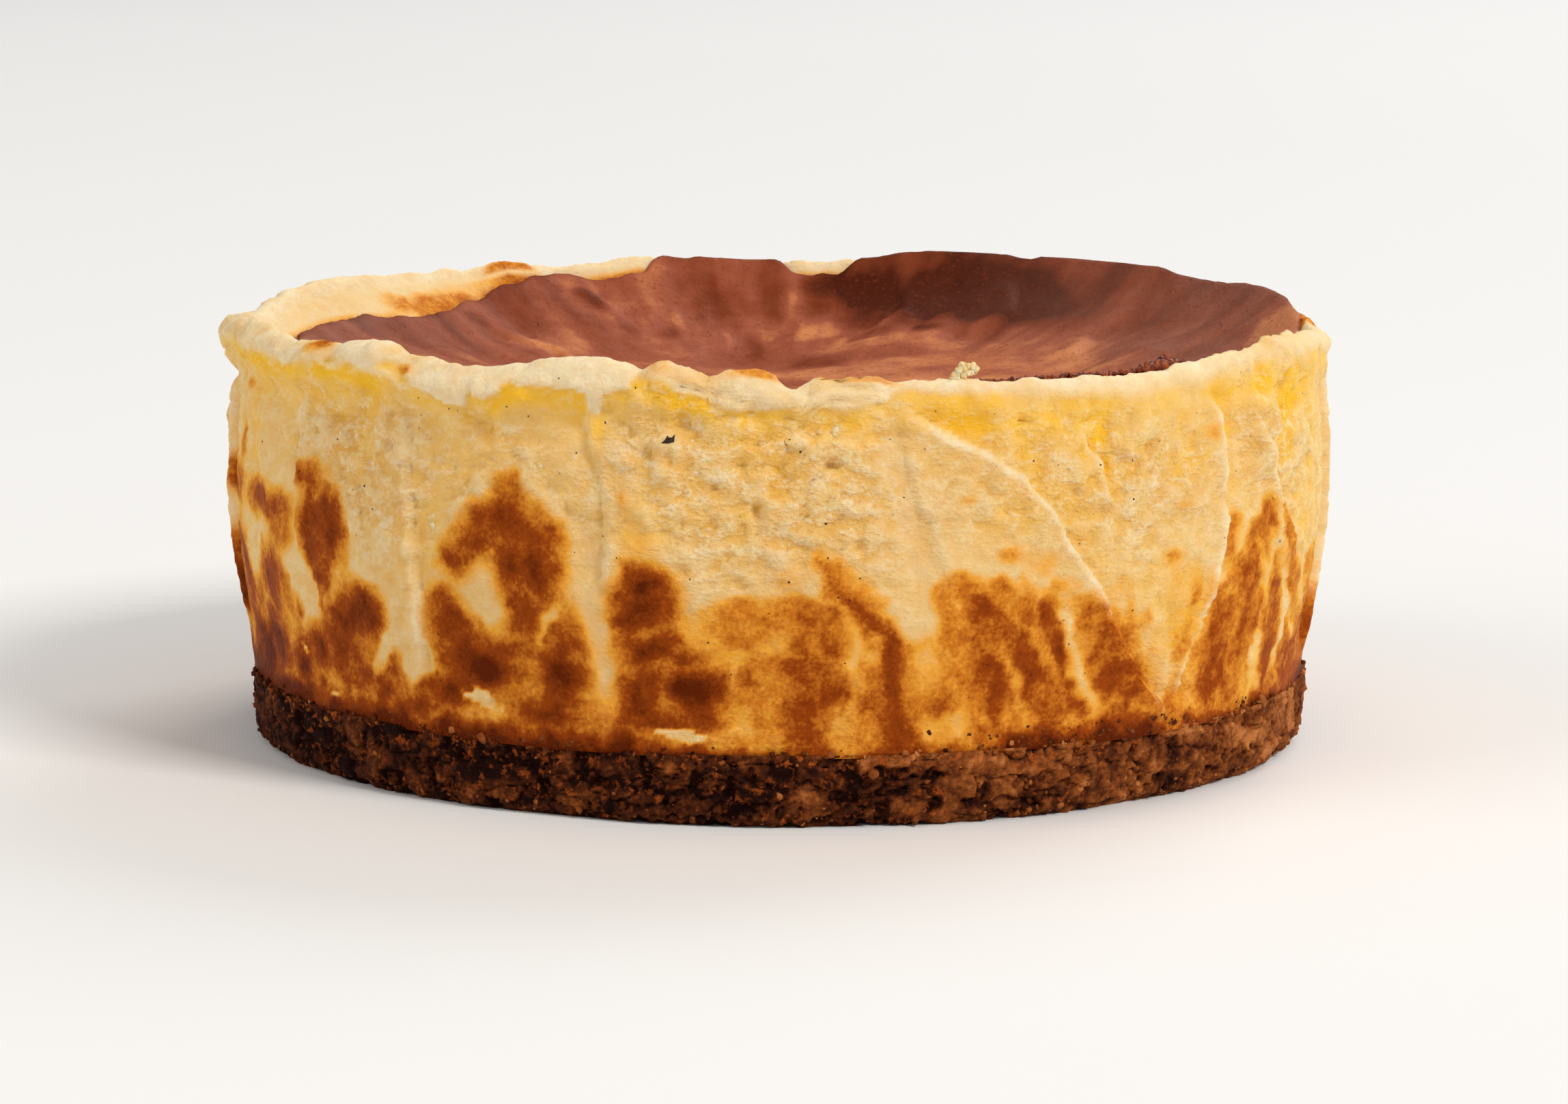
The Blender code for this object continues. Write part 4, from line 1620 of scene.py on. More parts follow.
def skin_scorch(around, radii, from_edge, relief):
    """How dark the skin is: darkest on its wall at the back, lightest on its floor, with a painted shade where its
    relief sinks.
    """
    flat = ring_points(around, radii, 0.0)
    wall = ease((radii - 50.0) / 14.0)
    by_side = 0.16 + waves(around, ((152, 24, 0.36), (110, 26, 0.10), (250, 30, 0.08), (0, 60, 0.10)))
    # Where the relief sinks the skin is darker: painted shade.
    scorch = 0.20 + by_side * wall + 0.13 * np.clip(-relief, 0.0, 2.0) + 0.28 * np.exp(-from_edge / 0.9)
    glow = 0.45 * np.exp(-((turn_between(around, 99.0) / 5.0) ** 2)) * ease((radii - 66.0) / 6.0)
    wandering = around + noise(flat, 7.0, 85, 3) * 2.0
    spots = soft_patches(wandering, radii + noise(flat, 6.0, 87, 3) * 1.5, SKIN_SPOTS)
    drawn = noise(ring_points(around, 62.0, radii * 0.16), 3.0, 88, 3) * 0.24 * ease((radii - 44.0) / 12.0)
    return scorch + spots + drawn + noise(flat, 18.0, 78, 3) * 0.12 - glow


def make_skin(looks):
    azimuth = np.arange(SKIN_COLUMNS) * 360.0 / SKIN_COLUMNS
    ragged = noise(ring_points(azimuth, 60.0, 0.0), 3.0, 71, 3) * 0.6
    edge = skin_edge_radius(azimuth) + ragged
    thickness = looks.skin_thickness / MM
    radii = edge[:, None] * np.linspace(1.0, 0.0, SKIN_ROWS, endpoint=False)[None, :] ** 0.75
    around = np.broadcast_to(azimuth[:, None], radii.shape).copy()
    from_edge = edge[:, None] - radii
    relief = skin_relief(around, radii, from_edge, looks)
    puff = 0.8 * np.exp(-(((from_edge - 2.2) / 2.2) ** 2)) * waves(around, ((252, 26, 1.0), (288, 20, 0.8)))
    rounded = thickness * np.sqrt(np.clip(1.0 - (1.0 - from_edge / 0.9) ** 2 * (from_edge < 0.9), 0.0, 1.0))
    past_crest = np.clip(radii - CREST_RADIUS, 0.0, 9.0)
    heights = dish_height(around, radii) - 0.55 * past_crest**1.4 + rounded + relief + puff
    top = ring_points(around, radii, heights)
    under_radii = (edge[:, None] - 1.6) * np.linspace(0.03, 1.0, SKIN_UNDER_ROWS)[None, :] ** 0.6
    under_around = np.broadcast_to(azimuth[:, None], under_radii.shape)
    under = ring_points(under_around, under_radii, dish_height(under_around, under_radii) - SKIN_BURIED)
    points = np.concatenate((under, top), axis=1)
    piece = round_piece(
        "browned_skin", points, (0.0, 0.0, FLOOR_HEIGHT - SKIN_BURIED), (0.0, 0.0, float(heights[:, -1].mean()))
    )
    scorch = skin_scorch(around, radii, from_edge, relief)
    # A painted dull sheen on the right and the left of the wall and at the front.
    press_tint_and_painted_sheen = waves(around, ((112, 34, 0.75), (258, 34, 0.55), (0, 60, 0.4))) * ease((radii - 40.0) / 22.0)
    for name, values in (("scorch", scorch), ("press_tint_and_painted_sheen", press_tint_and_painted_sheen)):
        below = np.repeat(values[:, :1], SKIN_UNDER_ROWS, axis=1)
        paint(piece, name, np.concatenate((below, values), axis=1))
    dress(piece, skin_material(looks))
    return piece


# ---------------------------------------------------------------------------------------------- the crumb base

BASE_COLUMNS = 1500
BASE_RINGS = ((66.0, 0.0), (72.4, 0.0), (73.7, 1.1), (74.3, 3.2), (74.5, 6.4), (74.6, BASE_TOP))
BASE_ROWS = 42
BASE_UNEVENNESS = ((5, 0.35, 40), (11, 0.22, 170), (23, 0.16, 85))
LOOSE_CRUMB_COUNT = 1150
# Crumbs that cling to the filling's foot: azimuth, half-width in degrees, how high they reach, how many.
FOOT_CRUMBS = (
    (30, 13, 1.8, 190),
    (44, 6, 1.4, 70),
    (57, 9, 1.2, 70),
    (-33, 24, 1.0, 110),
    (180, 80, 1.2, 300),
)
# Painted light and shade on each side of the base: azimuth, half-width in degrees, how much more or less than
# elsewhere.
BASE_PAINTED_LIGHT_WAVES = (
    (-45, 40, -0.12),
    (0, 7, -0.10),
    (26, 15, 0.20),
    (62, 24, 0.34),
    (110, 34, 0.12),
    (180, 50, 0.06),
)
FULL_TURN = 6.28


def unevenness(azimuth, harmonics):
    """A slow wobble round the cake: each harmonic has a count, a depth and a phase."""
    total = np.zeros_like(azimuth)
    for count, depth, phase in harmonics:
        total += depth * np.sin(np.radians(count * azimuth + phase))
    return total


def base_tone(azimuth, points):
    """How light the crumb is: a painted shade at the front left and a warmer painted light to the right, with random
    smears.
    """
    by_side = waves(azimuth, BASE_PAINTED_LIGHT_WAVES)
    smears = noise(points * np.array((1.0, 1.0, 1.8)), 6.0, 81, 3)
    return 0.44 + by_side + smears * 0.30


def make_base(looks):
    azimuth = np.arange(BASE_COLUMNS) * 360.0 / BASE_COLUMNS
    ring_radii = [radius for radius, _ in BASE_RINGS]
    ring_heights = [height for _, height in BASE_RINGS]
    travelled = np.concatenate(((0.0,), np.cumsum(np.hypot(np.diff(ring_radii), np.diff(ring_heights)))))
    lowest = np.linspace(0.0, travelled[1], 4)[:-1]
    stops = np.concatenate((lowest, np.linspace(travelled[1], travelled[-1], BASE_ROWS)))
    radii = np.interp(stops, travelled, ring_radii)[None, :] + unevenness(azimuth, BASE_UNEVENNESS)[:, None]
    heights = np.broadcast_to(np.interp(stops, travelled, ring_heights)[None, :], radii.shape)
    around = np.broadcast_to(azimuth[:, None], radii.shape).copy()
    points = ring_points(around, radii, heights)
    wandering = np.stack([noise(points, 2.5, 86 + axis, 2) for axis in range(3)], axis=-1) * 0.8
    bent = (points + wandering) * np.array((1.0, 1.0, 1.25))
    near_big, _, own_big = pebbles(bent, 2.2, 82)
    near_small, _, own_small = pebbles(bent, 0.95, 83)
    cracks = ease(1.0 - np.abs(noise(points * np.array((1.0, 1.0, 1.9)), 5.0, 84, 3)) / 0.10)
    holes = ease((noise(points, 2.2, 89, 3) - 0.34) / 0.25)
    crumbly = noise(points, 1.5, 92, 3)
    relief = (0.5 - near_big) * 0.34 + (0.5 - near_small) * 0.34 + crumbly * 0.30 - cracks * 0.5 - holes * 0.7
    shown = ease((radii - 71.5) / 1.5)
    shaped = points + grid_normals(points) * (relief * shown * looks.crumb_depth)[..., None]
    piece = round_piece("crumb_base", shaped, (0.0, 0.0, 0.0), (0.0, 0.0, BASE_TOP))
    top_edge = 0.06 * ease((heights - 7.8) / 1.6)
    # Cracks, holes and the gaps between small crumbs are darker: painted shade.
    tone = base_tone(around, points) + own_big * 0.08 + own_small * 0.10 + crumbly * 0.14 - cracks * 0.25
    paint(piece, "tone", tone - holes * 0.25 - near_small * 0.12 + top_edge)
    paint(piece, "rust", 0.35 + 0.6 * ease((heights - 6.2) / 2.6) + 0.4 * noise(points, 4.0, 93, 2))
    dress(piece, crumb_material("biscuit_crumb", looks, 0.0006), BASE_NODE)
    return piece


def lump(size, seed, detail=1, roughness=0.38):
    """The points and faces of one rough lump about this wide, in millimetres, round its own middle."""
    mesh = bmesh.new()
    bmesh.ops.create_icosphere(mesh, subdivisions=detail, radius=1.0)
    corners = np.array([vertex.co for vertex in mesh.verts])
    faces = [[vertex.index for vertex in face.verts] for face in mesh.faces]
    mesh.free()
    random = np.random.default_rng(seed)
    stretch = random.uniform(0.6, 1.25, 3)
    rough = 1.0 + roughness * noise(corners + random.uniform(0, 50, 3), 0.9, 91, 2)
    return corners * rough[:, None] * stretch * size * 0.5, faces


def joined(name, shapes):
    """One piece from many shapes, each with its points in millimetres, its faces and its tone."""
    corners = []
    faces = []
    tones = []
    start = 0
    for points, shape_faces, tone in shapes:
        corners.append(points)
        faces.extend([[start + index for index in face] for face in shape_faces])
        tones.append(np.full(len(points), tone))
        start += len(points)
    piece = new_piece(name, np.concatenate(corners), faces)
    paint(piece, "tone", np.concatenate(tones))
    cells = np.floor(np.stack([np.concatenate(tones) * 1e4] * 3, axis=-1)).astype(np.int64)
    paint(piece, "rust", scrambled(cells, 94))
    return piece


def surface_of(name):
    """A finder of places on a piece's surface."""
    mesh = bpy.data.objects[name].data
    corners = [vertex.co for vertex in mesh.vertices]
    return bvhtree.BVHTree.FromPolygons(corners, [polygon.vertices[:] for polygon in mesh.polygons])


def side_spot(surface, azimuth, height):
    """The point and normal where a horizontal line towards the axis first meets a surface, in millimetres."""
    turn = math.radians(azimuth)
    outwards = Vector((math.sin(turn), -math.cos(turn), 0.0))
    start = outwards * 0.12 + Vector((0.0, 0.0, height * MM))
    point, normal, _, _ = surface.ray_cast(start, -outwards)
    if point is None:
        raise RuntimeError(f"no surface at azimuth {azimuth}, height {height}")
    return np.array(point) / MM, np.array(normal)


def random_spin(random):
    """A random turn about the Z axis and then about the X axis."""
    about_z = Matrix.Rotation(random.uniform(0, FULL_TURN), 3, "Z")
    return about_z @ Matrix.Rotation(random.uniform(0, FULL_TURN), 3, "X")


def foot_crumbs(shapes, random):
    """Dark crumbs that cling to the browned foot of the filling, fewer of them higher up."""
    surface = surface_of("cheese_side_and_rim")
    crumbs = []
    for middle, half_width, reach, count in FOOT_CRUMBS:
        for index in range(count):
            azimuth = middle + random.normal(0.0, half_width / 2.0)
            height = BASE_TOP + min(random.exponential(reach / 2.0), 1.5 * reach)
            size = min(0.22 + random.exponential(0.22), 1.0)
            spot, normal = side_spot(surface, azimuth, height)
            corners, faces = shapes[index % len(shapes)]
            spin = random_spin(random)
            placed = corners @ np.array(spin).T * size + spot - normal * size * 0.28
            crumbs.append((placed, faces, random.normal(0.46, 0.08)))
    return crumbs


def make_loose_crumbs(looks):
    """Crumbs that stand out of the base's side, most of them along its top and bottom edges, and on the foot."""
    surface = surface_of("crumb_base")
    random = np.random.default_rng(5)
    shapes = [lump(1.0, seed) for seed in range(14)]
    crumbs = foot_crumbs(shapes, random)
    for index in range(LOOSE_CRUMB_COUNT):
        azimuth = random.uniform(0.0, 360.0)
        height = random.choice((random.uniform(0.6, 9.0), random.uniform(8.6, 9.6), random.uniform(0.5, 1.6)))
        size = min(0.35 + random.exponential(0.32), 1.8)
        spot, normal = side_spot(surface, azimuth, height)
        corners, faces = shapes[index % len(shapes)]
        spin = random_spin(random)
        centre = spot - normal * size * 0.15
        centre[2] = max(centre[2] + random.uniform(0.0, 0.8) * (height > 8.6), size * 0.5)
        # Each crumb takes the base's tone there, painted light and shade included.
        tone = float(base_tone(np.array([azimuth]), spot[None, :])[0]) + random.normal(0.05, 0.17)
        crumbs.append((corners @ np.array(spin).T * size + centre, faces, tone))
    piece = joined("base_crumbs", crumbs)
    dress(piece, crumb_material("loose_crumb", looks, 0.00006))
    return piece


# ---------------------------------------------------------------------------------------------- small things

BOLD_SEEDS = (
    (-49, 47.2),
    (-44.7, 41.6),
    (-37.4, 54.2),
    (-34, 53),
    (-36, 23),
    (-28.6, 44.5),
    (-27, 54),
    (-25.1, 52.8),
    (-21.3, 58.2),
    (-17, 52.6),
    (-17, 38),
    (-15.5, 35.4),
    (-13.7, 57.4),
    (-8.5, 55.2),
    (-6.7, 45.5),
    (-6.7, 24.7),
    (-4.5, 20.5),
    (1, 32.8),
    (1, 51),
    (2, 49.5),
    (4.5, 40.2),
    (5.7, 30.8),
    (6.8, 30.4),
    (6.5, 22),
    (7.8, 33.2),
    (12, 43.5),
    (14, 49.7),
    (15.2, 54.4),
    (25.6, 47.4),
    (27, 42.7),
    (32, 18.9),
    (36.7, 41.6),
    (37.2, 46.5),
    (37.7, 26.6),
    (52.7, 56.5),
)
SCATTERED_SEEDS = 190
# The outline of one torn scrap of vanilla pod on the side: points (to the right, up) from its own place.
POD_SCRAP_PLACE = (-11.2, 50.4)
POD_SCRAP_OUTLINE = (
    (0.0, 0.0),
    (0.5, 0.42),
    (0.68, 0.92),
    (0.86, 0.66),
    (1.25, 0.62),
    (1.52, 1.02),
    (1.58, 0.1),
    (0.9, -0.04),
)
POD_SCRAP_THICKNESS = 0.12


def pod_scrap(surface):
    """A flat scrap of vanilla pod that lies on the side."""
    azimuth, height = POD_SCRAP_PLACE
    count = len(POD_SCRAP_OUTLINE)
    outer = []
    inner = []
    for right, up in POD_SCRAP_OUTLINE:
        spot, normal = side_spot(surface, azimuth + right / DEGREE, height + up)
        outer.append(spot + normal * POD_SCRAP_THICKNESS)
        inner.append(spot - normal * POD_SCRAP_THICKNESS)
    faces = [list(range(count)), list(range(2 * count - 1, count - 1, -1))]
    for index in range(count):
        following = (index + 1) % count
        faces.append([following, index, count + index, count + following])
    return np.array(outer + inner), faces, 0.0


def make_vanilla_seeds():
    """Vanilla seeds half sunk in the cheese, and one scrap of the pod."""
    surface = surface_of("cheese_side_and_rim")
    random = np.random.default_rng(8)
    places = [(azimuth, height, random.uniform(0.28, 0.40)) for azimuth, height in BOLD_SEEDS]
    for _ in range(SCATTERED_SEEDS):
        places.append((random.uniform(0.0, 360.0), random.uniform(14.0, 56.5), random.uniform(0.16, 0.30)))
    shapes = [pod_scrap(surface)]
    for index, (azimuth, height, size) in enumerate(places):
        spot, normal = side_spot(surface, azimuth, height)
        corners, faces = lump(size, 100 + index)
        shapes.append((corners + spot - normal * size * 0.12, faces, 0.0))
    piece = joined("vanilla_seeds", shapes)
    stops = ((0.35, (0.010, 0.006, 0.004)), (0.70, (0.040, 0.022, 0.012)))
    dress(piece, mottled_material("vanilla_seed", stops, 0.40))
    return piece


# The torn curl that stands on the rim: azimuth, height above the crest, width of each bead along it.
CURL_BEADS = (
    (16.6, -0.4, 0.9),
    (17.0, 0.0, 0.9),
    (17.3, 0.45, 0.9),
    (17.5, 0.9, 1.0),
    (17.8, 1.3, 1.1),
    (18.1, 1.7, 1.1),
    (18.6, 1.9, 1.1),
    (19.1, 1.8, 0.9),
    (19.4, 1.5, 0.8),
    (18.1, 0.9, 1.1),
    (18.5, 1.2, 1.2),
    (18.9, 1.2, 0.9),
    (19.3, 1.05, 0.6),
)
# Torn bits on the side: azimuth, height, width.
PALE_CHIPS = (
    (5.4, 51.9, 1.0),
    (5.3, 51.2, 0.9),
    (-36.3, 38.4, 1.3),
    (-36.2, 37.4, 1.2),
    (-23.6, 46.6, 0.8),
    (45.8, 44.6, 0.45),
    (-8.4, 50.6, 0.6),
)


def make_pale_crumbs(looks):
    """The torn curl on the rim, and pale chips on the side."""
    surface = surface_of("cheese_side_and_rim")
    shapes = []
    for index, (azimuth, above, size) in enumerate(CURL_BEADS):
        crest = float(crest_height(np.array([azimuth]))[0])
        corners, faces = lump(size * 1.15, 300 + index, detail=3, roughness=0.45)
        shapes.append((corners + ring_points(azimuth, CREST_RADIUS + 0.2, crest + above), faces, 0.0))
    for index, (azimuth, height, size) in enumerate(PALE_CHIPS):
        spot, normal = side_spot(surface, azimuth, height)
        corners, faces = lump(size * 1.2, 400 + index, detail=3)
        flattened = corners - np.outer(corners @ normal, normal) * 0.72
        shapes.append((flattened + spot - normal * size * 0.04, faces, 0.0))
    piece = joined("pale_crumbs", shapes)
    stops = ((0.36, looks.amber_and_shade_colour), (0.48, looks.cream_colour), (0.66, looks.pale_crust_and_highlight_colour))
    dress(piece, mottled_material("pale_crumb", stops, 0.60, subsurface=0.3, specular=0.05))
    return piece


# The skin's dark edge stands up behind the rim from one azimuth to another, thickest at a third.
TORN_EDGE_SPAN = (19.0, 46.0)
TORN_EDGE_THICKEST = 42.0
TORN_EDGE_LUMPS = 120


def make_burnt_flakes(looks):
    """The skin's dark torn edge, where it stands up behind the rim."""
    random = np.random.default_rng(13)
    first, last = TORN_EDGE_SPAN
    shapes = []
    for index in range(TORN_EDGE_LUMPS):
        azimuth = first + (last - first) * (index + random.uniform(0, 1)) / TORN_EDGE_LUMPS
        heavy = math.exp(-(((azimuth - TORN_EDGE_THICKEST) / 2.6) ** 2))
        size = 0.45 + 0.35 * random.uniform() + 1.0 * heavy
        crest = float(crest_height(np.array([azimuth]))[0])
        rise = -0.35 + 0.45 * float(ease((azimuth - first) / 12.0)) + heavy * random.uniform(0.1, 0.8)
        corners, faces = lump(size, 500 + index, detail=2, roughness=0.5)
        centre = ring_points(azimuth, 74.4 - random.uniform(0.0, 1.2), crest + rise)
        shapes.append((corners + centre, faces, 0.0))
    piece = joined("burnt_flakes", shapes)
    stops = ((0.34, looks.burnt_colour), (0.52, looks.umber_colour), (0.70, looks.rust_colour))
    dress(piece, mottled_material("burnt_flake", stops, 0.30, specular=0.22))
    return piece


# ---------------------------------------------------------------------------------------------- the stage


def soft_light(name, azimuth, elevation, distance, size, power, colour, target):
    """A square soft light that looks at a point."""
    data = bpy.data.lights.new(name, "AREA")
    data.shape = "SQUARE"
    data.size = size
    data.energy = power
    data.color = colour
    light = bpy.data.objects.new(name, data)
    turn = math.radians(azimuth)
    rise = math.radians(elevation)
    away = Vector((math.sin(turn) * math.cos(rise), -math.cos(turn) * math.cos(rise), math.sin(rise)))
    light.location = target + away * distance
    light.rotation_euler = (-away).to_track_quat("-Z", "Y").to_euler()
    bpy.context.scene.collection.objects.link(light)
    return light


def make_floor(stage):
    mesh = bpy.data.meshes.new("floor")
    reach = 12.0
    corners = [(-reach, -reach, 0.0), (reach, -reach, 0.0), (reach, reach, 0.0), (-reach, reach, 0.0)]
    mesh.from_pydata(corners, [], [(0, 1, 2, 3)])
    floor = bpy.data.objects.new("floor", mesh)
    material, tree, shader = new_material("pale_floor")
    mottle = spread_noise(tree, object_place(tree), 0.8, 2.0, 0.5)
    connect(tree, shader["Base Color"], mix_colour(tree, mottle, stage.floor_colour, stage.floor_shade))
    connect(tree, shader["Roughness"], 0.8)
    connect(tree, shader["Specular IOR Level"], 0.1)
    mesh.materials.append(material)
    bpy.context.scene.collection.objects.link(floor)


def make_room(stage):
    """The room's even light, and how light becomes colour."""
    world = bpy.data.worlds.new("soft_room")
    world.use_nodes = True
    background = world.node_tree.nodes["Background"]
    background.inputs["Color"].default_value = (1.0, 1.0, 1.0, 1.0)
    background.inputs["Strength"].default_value = stage.room_light
    scene = bpy.context.scene
    scene.world = world
    scene.view_settings.view_transform = "Standard"
    scene.view_settings.look = "None"


def make_camera(stage, target):
    data = bpy.data.cameras.new("camera")
    data.sensor_width = 36.0
    data.lens = stage.lens
    data.shift_x = stage.shift_x
    data.shift_y = stage.shift_y
    data.clip_start = 0.05
    data.clip_end = 50.0
    camera = bpy.data.objects.new("camera", data)
    away = Vector((0.0, -math.cos(stage.elevation), math.sin(stage.elevation)))
    level = (-away).to_track_quat("-Z", "Y")
    camera.rotation_mode = "QUATERNION"
    camera.location = target + away * stage.distance
    camera.rotation_quaternion = level @ Matrix.Rotation(stage.roll, 3, "Z").to_quaternion()
    bpy.context.scene.collection.objects.link(camera)
    bpy.context.scene.camera = camera


def make_stage(stage):
    """The floor, the room, the lights and the camera."""
    target = Vector((0.0, 0.0, stage.aim_height))
    make_floor(stage)
    make_room(stage)
    soft_light("key_light", 48, 40, 4.0, 1.2, stage.key_power, (1.0, 0.965, 0.91), target)
    soft_light("back_light", 150, 38, 4.0, 2.0, stage.back_power, (1.0, 0.98, 0.96), target)
    soft_light("fill_light", -65, 30, 4.0, 2.4, stage.fill_power, (1.0, 0.93, 0.84), target)
    make_camera(stage, target)


# ---------------------------------------------------------------------------------------------- the add-on


def colour_setting(name, description, default):
    return bpy.props.FloatVectorProperty(
        name=name, description=description, subtype="COLOR", size=3, min=0.0, max=1.0, default=default
    )


def share_setting(name, description):
    return bpy.props.FloatProperty(
        name=name, description=description, subtype="FACTOR", min=0.0, soft_max=2.0, default=1.0
    )


class CheesecakeLooks(bpy.types.PropertyGroup):
    """Colours and depths of the cake's finish."""

    cream_colour: colour_setting("Cream", "Baked cheese where it isn't browned", (0.79, 0.55, 0.245))
    amber_and_shade_colour: colour_setting("Honey", "The pits and hollows of the cheese", (0.78, 0.43, 0.10))
    # The cheese's amber clouds, and the painted amber shade in its hollows and pits.
    yellow_and_shade_colour: colour_setting("Yellow", "The moist yellow under the rim", (0.90, 0.50, 0.028))
    # The cheese's yellow places, and the painted yellow shade and glow under the rim and in the folds and dimples.
    pale_crust_and_highlight_colour: colour_setting("Pale", "The dry torn rim and the folds' edges", (0.87, 0.75, 0.52))
    # The dry torn rim, and the painted highlight on the folds' edges and the curd's tops.
    pressed_colour: colour_setting("Pressed", "Where the paper pressed the cheese smooth", (0.70, 0.43, 0.21))
    golden_colour: colour_setting("Golden", "The first colour of browning", (0.82, 0.38, 0.040))
    orange_colour: colour_setting("Orange", "The edge of a browned patch", (0.61, 0.20, 0.016))
    brown_colour: colour_setting("Brown", "A browned patch", (0.33, 0.062, 0.004))
    dark_colour: colour_setting("Dark Brown", "The darkest browning of the side", (0.12, 0.016, 0.001))
    amber_colour: colour_setting("Amber", "The lightest skin", (0.62, 0.22, 0.080))
    terracotta_colour: colour_setting("Terracotta", "The floor of the skin", (0.34, 0.088, 0.042))
    umber_colour: colour_setting("Umber", "The skin's wall", (0.20, 0.038, 0.012))
    burnt_colour: colour_setting("Burnt", "The darkest skin", (0.070, 0.011, 0.003))
    # A painted dull sheen on the skin.
    painted_sheen_colour: colour_setting("Painted Sheen", "The dull bloom of the skin", (0.26, 0.120, 0.085))
    # The darkest crumb, and the painted shade in the base's cracks and holes.
    darkest_crumb_and_shade_colour: colour_setting("Darkest Crumb", "The darkest crumb", (0.012, 0.002, 0.0008))
    crumb_colour: colour_setting("Crumb", "Most of the crumb", (0.085, 0.019, 0.0045))
    toffee_colour: colour_setting("Toffee", "Lighter crumb", (0.25, 0.068, 0.014))
    tan_colour: colour_setting("Tan", "The lightest crumb", (0.50, 0.18, 0.050))
    rust_colour: colour_setting("Rust", "Red-brown crumbs and scorched flakes", (0.36, 0.075, 0.012))
    fold_depth: share_setting("Fold Depth", "How deep the side's folds are")
    curd_depth: share_setting("Curd Depth", "How rough the torn curd is")
    wrinkle_depth: share_setting("Wrinkle Depth", "How deep the skin's folds are")
    crumb_depth: share_setting("Crumb Depth", "How rough the crumb base is")
    skin_thickness: bpy.props.FloatProperty(
        name="Skin Thickness", description="Thickness of the browned skin", unit="LENGTH", min=0.0, default=0.0007
    )


class CheesecakeStage(bpy.types.PropertyGroup):
    """The camera, the lights and the floor."""

    distance: bpy.props.FloatProperty(
        name="Distance", description="From the camera to the aim point", unit="LENGTH", min=0.1, default=0.728
    )
    elevation: bpy.props.FloatProperty(
        name="Elevation", description="Camera's angle above the floor", subtype="ANGLE", default=math.radians(8.57)
    )
    roll: bpy.props.FloatProperty(
        name="Roll", description="Camera's tilt about its line of sight", subtype="ANGLE", default=math.radians(0.4)
    )
    lens: bpy.props.FloatProperty(name="Lens", description="Focal length in millimetres", min=10.0, default=117.3)
    shift_x: bpy.props.FloatProperty(name="Shift X", description="Frame shift to the side", default=0.0033)
    shift_y: bpy.props.FloatProperty(name="Shift Y", description="Frame shift upwards", default=-0.0195)
    aim_height: bpy.props.FloatProperty(
        name="Aim Height", description="Height of the point that the camera looks at", unit="LENGTH", default=0.029
    )
    key_power: bpy.props.FloatProperty(name="Key Light", description="Power in watts", unit="POWER", default=100.0)
    back_power: bpy.props.FloatProperty(name="Back Light", description="Power in watts", unit="POWER", default=55.0)
    fill_power: bpy.props.FloatProperty(name="Fill Light", description="Power in watts", unit="POWER", default=42.0)
    room_light: bpy.props.FloatProperty(name="Room Light", description="Strength of the room's light", default=0.40)
    floor_colour: colour_setting("Floor", "The pale floor", (0.88, 0.88, 0.88))
    floor_shade: colour_setting("Floor Shade", "The floor's slightly darker clouds", (0.84, 0.84, 0.84))


class CAKE_OT_filling(bpy.types.Operator):
    """Make the cheese filling's side, rim and inner wall"""

    bl_idname = "cheesecake.filling"
    bl_label = "Cheese Filling"

    def execute(self, context):
        make_filling(context.scene.cheesecake_looks)
        return {"FINISHED"}


class CAKE_OT_skin(bpy.types.Operator):
    """Make the browned skin of the sunken top"""

    bl_idname = "cheesecake.skin"
    bl_label = "Browned Skin"

    def execute(self, context):
        make_skin(context.scene.cheesecake_looks)
        return {"FINISHED"}


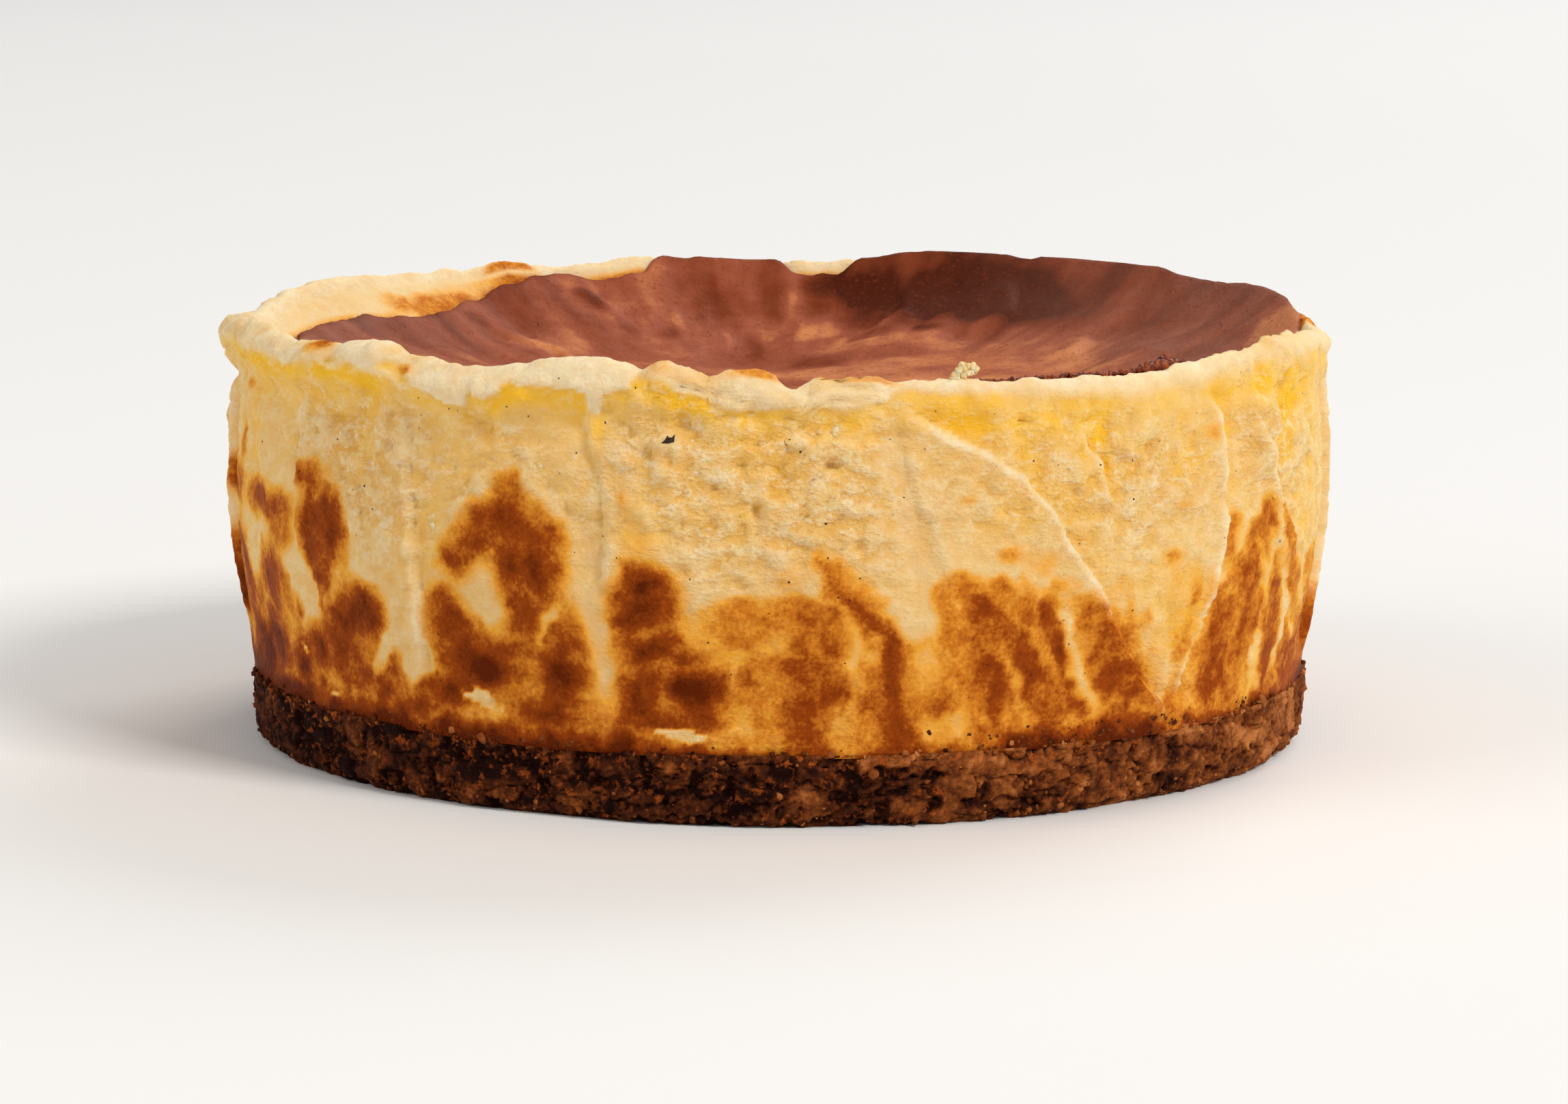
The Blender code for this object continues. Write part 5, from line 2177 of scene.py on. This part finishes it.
class CAKE_OT_base(bpy.types.Operator):
    """Make the biscuit crumb base and the crumbs that stand out of it"""

    bl_idname = "cheesecake.base"
    bl_label = "Crumb Base"

    def execute(self, context):
        make_base(context.scene.cheesecake_looks)
        make_loose_crumbs(context.scene.cheesecake_looks)
        return {"FINISHED"}


class CAKE_OT_small_things(bpy.types.Operator):
    """Make the vanilla seeds, the pale crumbs and the burnt flakes"""

    bl_idname = "cheesecake.small_things"
    bl_label = "Seeds, Crumbs and Flakes"

    def execute(self, context):
        looks = context.scene.cheesecake_looks
        make_vanilla_seeds()
        make_pale_crumbs(looks)
        make_burnt_flakes(looks)
        return {"FINISHED"}


class CAKE_OT_stage(bpy.types.Operator):
    """Set the floor, the lights and the camera"""

    bl_idname = "cheesecake.stage"
    bl_label = "Stage"

    def execute(self, context):
        make_stage(context.scene.cheesecake_stage)
        return {"FINISHED"}


class CAKE_PT_panel(bpy.types.Panel):
    """Lists the cake's settings and the buttons that make its pieces"""

    bl_idname = "CAKE_PT_panel"
    bl_label = "Baked Cheesecake"
    bl_space_type = "VIEW_3D"
    bl_region_type = "UI"
    bl_category = "Cheesecake"

    def draw(self, context):
        layout = self.layout
        for settings in (context.scene.cheesecake_looks, context.scene.cheesecake_stage):
            box = layout.box()
            for name in settings.__annotations__:
                box.prop(settings, name)
        for operator in OPERATORS:
            layout.operator(operator.bl_idname)


OPERATORS = (CAKE_OT_stage, CAKE_OT_filling, CAKE_OT_skin, CAKE_OT_base, CAKE_OT_small_things)
CLASSES = (CheesecakeLooks, CheesecakeStage, *OPERATORS, CAKE_PT_panel)


def register():
    for item in CLASSES:
        bpy.utils.register_class(item)
    bpy.types.Scene.cheesecake_looks = bpy.props.PointerProperty(type=CheesecakeLooks)
    bpy.types.Scene.cheesecake_stage = bpy.props.PointerProperty(type=CheesecakeStage)


def unregister():
    del bpy.types.Scene.cheesecake_stage
    del bpy.types.Scene.cheesecake_looks
    for item in reversed(CLASSES):
        bpy.utils.unregister_class(item)


def main():
    register()
    bpy.ops.cheesecake.stage()
    bpy.ops.cheesecake.filling()
    bpy.ops.cheesecake.skin()
    bpy.ops.cheesecake.base()
    bpy.ops.cheesecake.small_things()
    bpy.context.view_layer.update()


if __name__ == "__main__":
    main()
